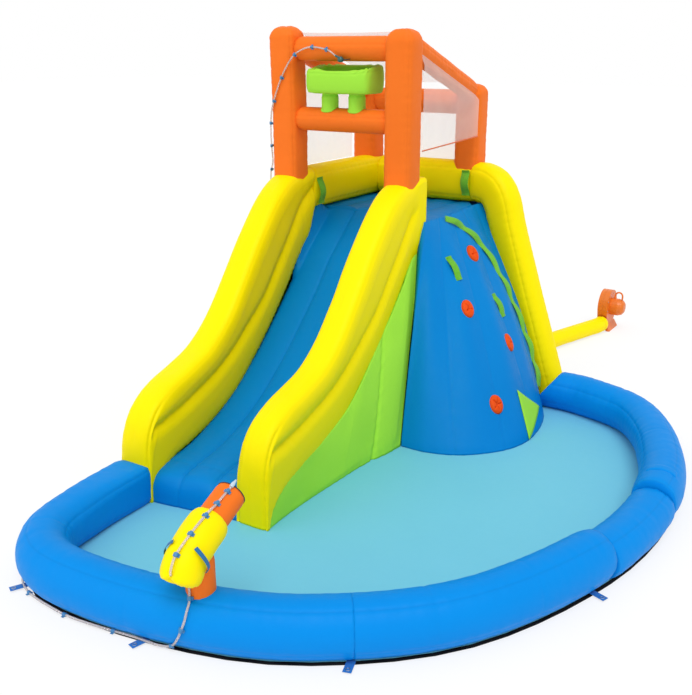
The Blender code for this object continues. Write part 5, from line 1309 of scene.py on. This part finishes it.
def make_bucket():
    """A sewn trough: fat walls round a hollow, with a wavy rim, on two round legs."""
    half = np.array([TROUGH_HALF_X, (TROUGH_BACK - TROUGH_FRONT) / 2])
    angle = 2 * np.pi * np.arange(TROUGH_STEPS) / TROUGH_STEPS
    plan = superellipse(1.0, 1.0, 6.0, TROUGH_STEPS)
    wave = 0.004 * np.cos(14 * angle) + 0.003 * np.sin(9 * angle)
    inner = half - TROUGH_WALL
    rows = [(half - (1 - scale) * 0.13 if scale > 0.8 else half * scale, TROUGH_LOW + rise)
            for scale, rise in TROUGH_OUTER]
    rows.append((half - TROUGH_WALL / 2, TROUGH_HIGH - 0.002 + wave * 0.8))
    rows += [(inner - shrink, TROUGH_LOW + rise) for shrink, rise in TROUGH_INNER]
    rows.append((inner * 0.1, TROUGH_LOW + 0.047))
    ctrl = np.array([lifted(plan * size + (0, TROUGH_MIDDLE_Y), z) for size, z in rows])
    params = np.linspace(0, len(rows) - 1, TROUGH_ROWS)
    grid = np.stack([spline_at(ctrl[:, j], params, False) for j in range(TROUGH_STEPS)], axis=1)
    shape_rim(grid, half)
    sewing = Sewing(grid, seed=31.0)
    sewing.across(0.50, "trough_rim")
    sewing.across(0.27, "trough_side")
    grid, seam = sewing.done()
    add_piece("tipping_bucket_skin", mesh_from_grid("tipping_bucket_skin", grid, seam=seam),
              "panel_lime", "bucket", ("tipping_bucket",))
    section = section_at(np.arange(0, SECTION_POINTS, 0.5), TROUGH_LEG_RADIUS, TROUGH_LEG_RADIUS)
    for k, x in enumerate((-TROUGH_LEG_X, TROUGH_LEG_X)):
        path = [(x, TROUGH_LEG_Y, z) for z in
                np.linspace(TROUGH_LOW + 0.02, LOWER_CROSS_Z + 0.052, 40)]
        sewing = Sewing(rings_along(path, section, (1, 0, 0)), seed=40.0 + k)
        sewing.across(0.18, "trough_leg")
        grid, seam = sewing.done()
        keep_off_tube(grid)
        name = f"bucket_leg_{k + 1}"
        add_piece(name, mesh_from_grid(name, grid, seam=seam), "panel_lime", "bucket")


def shape_rim(grid, half):
    """Lift the rim at the back and let it dip and wave at the front, as a soft rim does."""
    high = ramp(grid[..., 2], TROUGH_LOW + 0.08, 0.07)
    depth = np.clip((grid[..., 1] - TROUGH_MIDDLE_Y) / half[1], -1.0, 1.0)
    width = np.clip(grid[..., 0] / half[0], -1.0, 1.0)
    back, front = np.clip(0.5 + depth, 0.0, 1.0), np.clip(0.5 - depth, 0.0, 1.0)
    grid[..., 2] += high * (TROUGH_BACK_RISE * back - 0.012 * front * (1 - width ** 4)
                            + 0.003 * np.sin(9.0 * width) * front)


def keep_off_tube(grid):
    """Wrap the legs' feet over the cross tube instead of into it."""
    off = grid[..., 1:] - (-POST_Y, LOWER_CROSS_Z)
    distance = np.linalg.norm(off, axis=-1, keepdims=True)
    scale = np.maximum(distance, CROSS_RADIUS + 0.003) / np.maximum(distance, 1e-6)
    grid[..., 1:] = off * scale + (-POST_Y, LOWER_CROSS_Z)


def make_sprayer():
    """The small spray head under the upper tube, over the trough."""
    profile = [(0.004, 0.020), (0.011, 0.019), (0.0125, 0.012), (0.0195, 0.009), (0.0205, 0.004),
               (0.0205, -0.008), (0.017, -0.012), (0.009, -0.0145), (0.002, -0.015)]
    add_turned("bucket_sprayer_head", profile, 36, (0.030, -0.662, 2.424), (0.1, -0.25, 1.0),
               "sprayer_teal", nodes=("bucket_sprayer",))
    sweep("bucket_sprayer_arm", [(-0.008, -0.664, 2.449), (0.012, -0.664, 2.440),
                                 (0.030, -0.662, 2.432)], 0.007, "sprayer_teal", samples=14)
    for k, (x, y) in enumerate(((0.062, -0.655), (0.004, -0.640)), 1):
        sweep(f"bucket_sprayer_tie_{k}", [(0.030, -0.662, 2.426), (x, y, 2.424),
                                          (x + 0.02, y + 0.03, 2.428)], 0.003,
              "dark_trim", samples=12, sides=8)


# Hoses and their clips

BUCKET_HOSE_ROUTE = [
    (-0.590, -0.610, 0.014), (-0.602, -0.600, 0.20), (-0.604, -0.600, 0.80),
    (-0.604, -0.610, 1.30), (-0.612, -0.606, 1.60), (-0.590, -0.606, 1.72),
    (-0.5640, -0.650, 1.84), (-0.5620, -0.655, 1.99), (-0.520, -0.6830, 2.12),
    (-0.441, -0.6840, 2.302), (-0.350, -0.6820, 2.435), (-0.270, -0.6660, 2.490),
    (-0.188, -0.6590, 2.503), (-0.075, -0.6600, 2.485), (-0.010, -0.6640, 2.450),
]
CANNON_HOSE_START = [(-0.560, -0.660), (-0.470, -1.40), (-0.360, -2.30)]
CANNON_HOSE_STATIONS, CANNON_HOSE_MARGIN = (2, 5, 7), 0.108
CANNON_HOSE_CLIMB = [
    (0.800, -3.532, HOSE_REST_Z), (0.920, -3.519, HOSE_REST_Z), (0.985, -3.506, 0.030),
    (1.042, -3.5235, 0.098), (1.063, -3.5200, 0.146), (1.0725, -3.5070, 0.185),
    (1.0700, -3.4860, 0.2215), (1.0590, -3.4540, 0.252), (1.0530, -3.4445, 0.290),
    (1.0520, -3.4440, 0.340), (1.0520, -3.4440, 0.392),
]
# Over the cannon: (share of its length, degrees to the side, height off its middle line)
CANNON_TOP_HOSE = [
    (0.085, 5, 0.086), (0.13, 6, 0.1005), (0.21, 6, 0.1005), (0.38, 14, 0.1005),
    (0.57, 19, 0.1005), (0.66, 20, 0.096), (0.725, 20, 0.084), (0.765, 20, 0.0805),
    (0.93, 24, 0.0805), (1.0, 25, 0.0805),
]
CANNON_CLIPS = [CANNON_TOP_HOSE[k] for k in (2, 3, 4, 7, 8)]
BUCKET_CLIP_SHARES = (0.52, 0.576, 0.642, 0.697, 0.754, 0.815, 0.880, 0.930, 0.970)
GROUND_CLIP_SHARES = (0.10, 0.25, 0.40, 0.55, 0.702, 0.767, 0.832)
CLIMB_CLIP_SHARES = (0.904, 0.937, 0.970)
CLIP_PROFILE = [(0.0062, -0.010), (0.0085, -0.0095), (0.0092, -0.006), (0.0092, 0.006),
                (0.0085, 0.0095), (0.0062, 0.010)]


def make_clip(name, place, tangent, normal, body="park"):
    """A moulded clip: a short collar round the hose on a little welded foot."""
    tangent, normal = unit(tangent), np.array(normal, float)
    add_turned(name, CLIP_PROFILE, 20, place, tangent, "clip_blue", body)
    foot, side = place - normal * 0.006, np.cross(tangent, normal)
    ribbon(name + "_foot", [foot + side * d for d in (-0.016, -0.007, 0.007, 0.016)], tangent,
           0.016, "clip_blue", body, thickness=0.002, samples=14)


def clips_along(prefix, route, shares, outward_of):
    path = smooth_through(route, 400)
    tangent = np.gradient(path, axis=0)
    for k, share in enumerate(shares, 1):
        i = round(share * 399)
        make_clip(f"{prefix}_{k}", path[i], tangent[i], outward_of(path[i]))


def make_hose(node, route, samples, body="park"):
    sweep(node + "_tube", route, HOSE_RADIUS, "hose_clear", body, (node,), samples=samples)


def make_hoses():
    make_hose("bucket_hose", BUCKET_HOSE_ROUTE, 200)
    clips_along("bucket_hose_clip", BUCKET_HOSE_ROUTE, BUCKET_CLIP_SHARES,
                lambda p: (-1, 0, 0) if p[2] < 1.98 else (0, -1, 0))
    edge = ring_edge(CANNON_HOSE_MARGIN)[list(CANNON_HOSE_STATIONS)]
    laid = lifted(np.vstack([CANNON_HOSE_START, edge]), HOSE_REST_Z)
    route = np.vstack([laid, CANNON_HOSE_CLIMB])
    make_hose("cannon_hose", route, 320)
    clips_along("cannon_hose_clip", route, GROUND_CLIP_SHARES, lambda p: UP)
    clips_along("ring_hose_clip", route, CLIMB_CLIP_SHARES, lambda p: (0.2, -0.9, 0.35))
    upper = [over_cannon(*place) for place in CANNON_TOP_HOSE]
    make_hose("cannon_hose_upper", upper, 70, "cannon")
    for k, (along, degrees, height) in enumerate(CANNON_CLIPS, 1):
        here = over_cannon(along, degrees, height)
        ahead = over_cannon(along + 0.02, degrees, height)
        up = unit(here - over_cannon(along, degrees, 0.0))
        make_clip(f"cannon_top_clip_{k}", here, ahead - here, up, "cannon")


# Water cannon

CANNON_X, CANNON_Y, CANNON_SEAT_Z, CANNON_PIVOT_Z = 1.052, -3.370, 0.236, 0.400
CANNON_POST_RADIUS, CANNON_BODY_RADIUS, CANNON_BARREL_RADIUS = 0.066, 0.093, 0.072
CANNON_BARREL_REACH = 0.152
CANNON_AZIMUTH, CANNON_ELEVATION = math.radians(4.0), 22
CANNON_BODY_ROWS = 110
# The muzzle's inside as (scale, push)
CANNON_LIP = ((0.965, 0.001), (0.93, -0.002), (0.915, -0.030), (0.50, -0.031), (0.03, -0.032))
# Each handle's ends over the cannon as (share, degrees), and its arch
CANNON_HANDLES = {"cannon_handle_left": ((0.29, -25), (0.18, -100), 0.003),
                  "cannon_handle_right": ((0.30, 42), (0.18, 115), 0.024)}


def cannon_direction(elevation):
    c = math.cos(math.radians(elevation))
    return np.array([-math.sin(CANNON_AZIMUTH) * c, math.cos(CANNON_AZIMUTH) * c,
                     math.sin(math.radians(elevation))])


CANNON_ACROSS = np.array([math.cos(CANNON_AZIMUTH), math.sin(CANNON_AZIMUTH), 0.0])
CANNON_FORWARD = cannon_direction(CANNON_ELEVATION)
CANNON_MIDDLE = np.array([CANNON_X, CANNON_Y, CANNON_PIVOT_Z + 0.112])
CANNON_FRONT = CANNON_MIDDLE + CANNON_FORWARD * 0.115
CANNON_TAIL = CANNON_MIDDLE - cannon_direction(34) * 0.110
CANNON_ROUTE = [CANNON_TAIL - cannon_direction(58) * 0.095, CANNON_TAIL, CANNON_MIDDLE,
                CANNON_FRONT]
CANNON_LINE = smooth_through(CANNON_ROUTE + [CANNON_FRONT + CANNON_FORWARD * 0.140], 61)
CANNON_TANGENTS = np.gradient(CANNON_LINE, axis=0)


def over_cannon(along, degrees, height):
    """A point off the cannon's middle line, at a share of its length."""
    where = np.linspace(0.0, 1.0, len(CANNON_LINE))
    point, tangent = (np.array([np.interp(along, where, values[:, k]) for k in range(3)])
                      for values in (CANNON_LINE, CANNON_TANGENTS))
    up = np.cross(CANNON_ACROSS, unit(tangent))
    angle = math.radians(degrees)
    return point + (up * math.cos(angle) + CANNON_ACROSS * math.sin(angle)) * height


def make_cannon():
    make_cannon_body()
    make_cannon_barrel()
    make_cannon_base()
    for name, (start, end, arch) in CANNON_HANDLES.items():
        points = []
        for t in np.linspace(0, 1, 13):
            share, degrees = np.array(start) + np.subtract(end, start) * t
            height = CANNON_BODY_RADIUS + 0.004 + arch * math.sin(math.pi * t)
            points.append(over_cannon(share, degrees, height))
        ribbon(name + "_strap", points, cannon_direction(34), 0.018, "strap_blue", "cannon",
               (name,), thickness=0.002, samples=60)
    tip = [(0.0035, 0.034), (0.0042, 0.033), (0.0062, 0.022), (0.0088, 0.013), (0.0095, 0.011),
           (0.0095, -0.006), (0.0080, -0.008), (0.0055, -0.008)]
    add_turned("cannon_nozzle_tip", tip, 24,
               over_cannon(*CANNON_TOP_HOSE[-1]) + CANNON_FORWARD * 0.002, CANNON_FORWARD,
               "nozzle_pale", "cannon", ("cannon_nozzle",))


def make_cannon_body():
    path = smooth_through(CANNON_ROUTE, CANNON_BODY_ROWS)
    params, indexes = seam_places((90, 270))
    section = section_at(params, CANNON_BODY_RADIUS, CANNON_BODY_RADIUS)
    t = np.linspace(0, 1, CANNON_BODY_ROWS)
    from_end = ramp(np.minimum(t, 1 - t) * path_length(path), 0.0, 0.055)
    scale = 0.72 + 0.28 * np.sqrt(1 - (1 - from_end) ** 2)
    sewing = Sewing(rings_along(path, section * scale[:, None, None], CANNON_ACROSS), seed=51.0)
    # Painted crease shade along the cleft between the tail lobes, fading forward
    tail = ramp(t, 0.42, -0.3)[:, None]
    for index, fade in zip(indexes, (2, 1)):
        sewing.along(index, "cannon_lobe", np.maximum(tail, 0.08),
                     0.35 * np.maximum(tail, 0.2) ** fade)
    sewing.across(0.0, "cannon_tail")
    sewing.across(1.0, "cannon_front")
    sewing.across(0.42, "cannon_waist")
    add_tube("cannon_body_skin", sewing, "tower_yellow", ("cannon_body",), (0.016, 0.008),
             "cannon")


def make_cannon_barrel():
    start = CANNON_FRONT - CANNON_FORWARD * 0.010
    end = CANNON_FRONT + CANNON_FORWARD * CANNON_BARREL_REACH
    params, (index,) = seam_places((210,))
    section = section_at(params, CANNON_BARREL_RADIUS, CANNON_BARREL_RADIUS)
    sewing = Sewing(rings_along(np.linspace(start, end, 40), section, CANNON_ACROSS), seed=61.0)
    sewing.along(index, "cannon_length")
    sewing.across(1.0, "cannon_mouth")
    grid, seam = sewing.done()
    lip = [end + (grid[-1] - end) * scale + CANNON_FORWARD * push for scale, push in CANNON_LIP]
    grid = np.concatenate([grid, lip])
    seam = np.concatenate([seam, np.zeros((len(lip), grid.shape[1]))])
    add_piece("cannon_barrel_skin", mesh_from_grid("cannon_barrel_skin", grid, seam=seam),
              "frame_orange", "cannon", ("cannon_barrel",))
    rings = [rings_along([end + CANNON_FORWARD * push for push in pushes], section * scale,
                         CANNON_ACROSS)
             for pushes, scale in (((-0.003, 0.0015), 0.985), ((0.0015, -0.010), 0.90))]
    mesh = mesh_from_grid("cannon_muzzle_ring", np.concatenate(rings), caps=False)
    add_piece("cannon_muzzle_ring", mesh, "dark_trim", "cannon")


def make_cannon_base():
    profile = [(CANNON_POST_RADIUS, z) for z in
               np.linspace(CANNON_SEAT_Z + 0.003, CANNON_PIVOT_Z, 40)]
    profile += [(CANNON_POST_RADIUS * math.cos(math.radians(a)),
                 CANNON_PIVOT_Z + CANNON_POST_RADIUS * math.sin(math.radians(a)))
                for a in (15, 30, 45, 60, 75, 87)]
    sewing = Sewing(turned_grid(profile, 64) + (CANNON_X, CANNON_Y, 0.0), seed=71.0)
    sewing.across(0.0, "cannon_foot")
    sewing.along(16, "cannon_length")
    grid, seam = sewing.done()
    add_piece("cannon_base_skin", mesh_from_grid("cannon_base_skin", grid, seam=seam),
              "frame_orange", "cannon_post", ("cannon_base",))


# Air duct and blower

DUCT_ROUTE = [
    (0.668, 0.628, 0.090), (0.80, 1.05, 0.080), (0.95, 1.60, 0.074), (1.065, 1.98, 0.073),
    (1.095, 2.09, 0.073), (1.095, 2.132, 0.073),
]
DUCT_RADIUS, DUCT_FLOOR = 0.066, 0.0035
BLOWER_X, BLOWER_Y, BLOWER_Z = 1.095, 2.270, 0.215
BLOWER_HALF, GRILLE_WIRE, SCREW_CIRCLE = 0.044, 0.0016, 0.118
BLOWER_FINISHES = {"blower_housing_left": "blower_orange", "blower_housing_right": "blower_orange",
                   "blower_motor_cover": "blower_orange", "blower_motor": "motor_steel",
                   "blower_impeller": "blower_dark"}
SCREW_PROFILE = [(0.001, 0.0030), (0.0042, 0.0026), (0.0052, 0.0010), (0.0052, -0.004)]


def make_duct():
    params, (index,) = seam_places((90,))
    section = section_at(params, DUCT_RADIUS, DUCT_RADIUS)
    sewing = Sewing(rings_along(smooth_through(DUCT_ROUTE, 200), section), seed=81.0)
    sewing.along(index, "duct_length")
    sewing.across(0.97, "duct_clamp")
    sewing.across(0.0, "duct_start")
    sewing.dent(0.002, 0.2, 3.0)
    grid, seam = sewing.done()
    mesh = mesh_from_grid("air_duct_skin", keep_above(grid, DUCT_FLOOR), caps=False, seam=seam)
    thicken(add_piece("air_duct_skin", mesh, "tower_yellow", nodes=("air_duct",)), 0.003, UP)


def beside_blower(x, radius, angle):
    return (BLOWER_X + x, BLOWER_Y + radius * math.cos(angle), BLOWER_Z + radius * math.sin(angle))


def dress_blower():
    """The blower's own solids stay; they get plastic, a grille and fasteners."""
    for name, finish in BLOWER_FINISHES.items():
        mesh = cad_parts[name].data
        mesh.materials.clear()
        mesh.materials.append(M[finish])
    face = -BLOWER_HALF - 0.003
    for k in range(3):
        ring = [beside_blower(face, 0.024 + 0.019 * k, a)
                for a in np.linspace(0, 2 * math.pi, 33)]
        sweep(f"blower_grille_ring_{k + 1}", ring, GRILLE_WIRE, "blower_dark", samples=64, sides=6)
    for k in range(8):
        spoke = [beside_blower(face, r, math.pi * k / 4) for r in (0.010, 0.040, 0.066)]
        sweep(f"blower_grille_spoke_{k + 1}", spoke, GRILLE_WIRE, "blower_dark", samples=8,
              sides=6)
    for k in range(7):
        place = beside_blower(BLOWER_HALF, SCREW_CIRCLE, math.radians(-60 + 42 * k))
        add_turned(f"blower_screw_{k + 1}", SCREW_PROFILE, 20, place, (1, 0, 0), "motor_steel")


# Stage

WORLD_STRENGTH = 0.67
FLOOR_HALF, FLOOR_Z, FLOOR_WHITE_SHARE = 60.0, -0.001, 0.72
WHITE = (1.0, 1.0, 1.0, 1.0)


def make_camera():
    data = bpy.data.cameras.new("camera")
    data.sensor_fit = "HORIZONTAL"
    data.sensor_width = 36.0
    data.lens = CAMERA_LENS
    data.clip_end = 200.0
    camera = add_object("camera", data)
    camera.location = CAMERA_PLACE
    camera.rotation_euler = CAMERA_TURN
    bpy.context.scene.camera = camera


def seen_directly(tree):
    """1 for camera, glossy and transmission rays, which see the background."""
    rays = add_node(tree, "ShaderNodeLightPath")
    last = rays.outputs["Is Camera Ray"]
    for name in ("Is Glossy Ray", "Is Transmission Ray"):
        either = add_node(tree, "ShaderNodeMath", operation="MAXIMUM")
        tree.links.new(last, either.inputs[0])
        tree.links.new(rays.outputs[name], either.inputs[1])
        last = either.outputs["Value"]
    return last


def mix_shaders(tree, share, a, b, out):
    mix = add_node(tree, "ShaderNodeMixShader")
    tree.links.new(share, mix.inputs["Fac"])
    tree.links.new(a, mix.inputs[1])
    tree.links.new(b, mix.inputs[2])
    tree.links.new(mix.outputs["Shader"], out.inputs["Surface"])


def make_world():
    """Even white light, and a plain white background."""
    world = bpy.data.worlds.new("studio")
    bpy.context.scene.world = world
    world.use_nodes = True
    tree = world.node_tree
    tree.nodes.clear()
    light, plain = (add_node(tree, "ShaderNodeBackground", Color=WHITE, Strength=strength)
                    for strength in (WORLD_STRENGTH, 1.0))
    mix_shaders(tree, seen_directly(tree), light.outputs["Background"],
                plain.outputs["Background"], add_node(tree, "ShaderNodeOutputWorld"))


def make_floor():
    """A white floor that shows as plain white and keeps a faint shadow."""
    mesh = bpy.data.meshes.new("floor")
    corners = ((-1, -1), (1, -1), (1, 1), (-1, 1))
    mesh.from_pydata([(FLOOR_HALF * x, FLOOR_HALF * y, FLOOR_Z) for x, y in corners], [],
                     [(0, 1, 2, 3)])
    mat = bpy.data.materials.new("floor_white")
    mat.use_nodes = True
    tree = mat.node_tree
    shader = tree.nodes["Principled BSDF"]
    shader.inputs["Base Color"].default_value = (0.96, 0.96, 0.96, 1.0)
    shader.inputs["Roughness"].default_value = 0.9
    shader.inputs["Specular IOR Level"].default_value = 0.0
    glow = add_node(tree, "ShaderNodeEmission", Color=WHITE, Strength=1.0)
    share = add_node(tree, "ShaderNodeMath", operation="MULTIPLY")
    share.inputs[1].default_value = FLOOR_WHITE_SHARE
    tree.links.new(seen_directly(tree), share.inputs[0])
    mix_shaders(tree, share.outputs["Value"], shader.outputs["BSDF"], glow.outputs["Emission"],
                tree.nodes["Material Output"])
    mesh.materials.append(mat)
    add_object("floor", mesh)


def add_sun(name, azimuth, elevation, strength, width):
    """Light from a direction: azimuth in degrees from -Y towards +X."""
    data = bpy.data.lights.new(name, "SUN")
    data.energy = strength
    data.angle = math.radians(width)
    azimuth, elevation = math.radians(azimuth), math.radians(elevation)
    level = math.cos(elevation)
    towards = Vector((math.sin(azimuth) * level, -math.cos(azimuth) * level, math.sin(elevation)))
    lamp = add_object(name, data)
    lamp.location = towards * 9.0
    lamp.rotation_euler = (-towards).to_track_quat("-Z", "Y").to_euler()


def build():
    bpy.context.scene.view_settings.view_transform = "Standard"
    make_camera()
    make_world()
    make_floor()
    add_sun("key", 38.0, 60.0, 1.44, 38.0)
    add_sun("side", -30.0, 35.0, 0.35, 50.0)
    make_hoses()
    make_sheet("ground_sheet", 0.095, 0.0030, "ground_black")
    make_sheet("pool_floor", 0.075, 0.0064, "pool_floor_cyan")
    make_ring()
    make_slide_wall("slide_wall_left", -1)
    make_slide_wall("slide_wall_right", 1)
    make_slide_bed()
    make_side_panel_right()
    make_side_panel_left()
    make_climbing_wall()
    make_rails()
    make_deck()
    make_back_panel()
    make_posts()
    make_frame_tubes()
    make_nets()
    make_grips()
    make_handles()
    make_climbing_strap()
    make_gusset()
    make_anchor_tabs()
    make_bucket()
    make_sprayer()
    make_cannon()
    make_duct()
    dress_blower()


build()
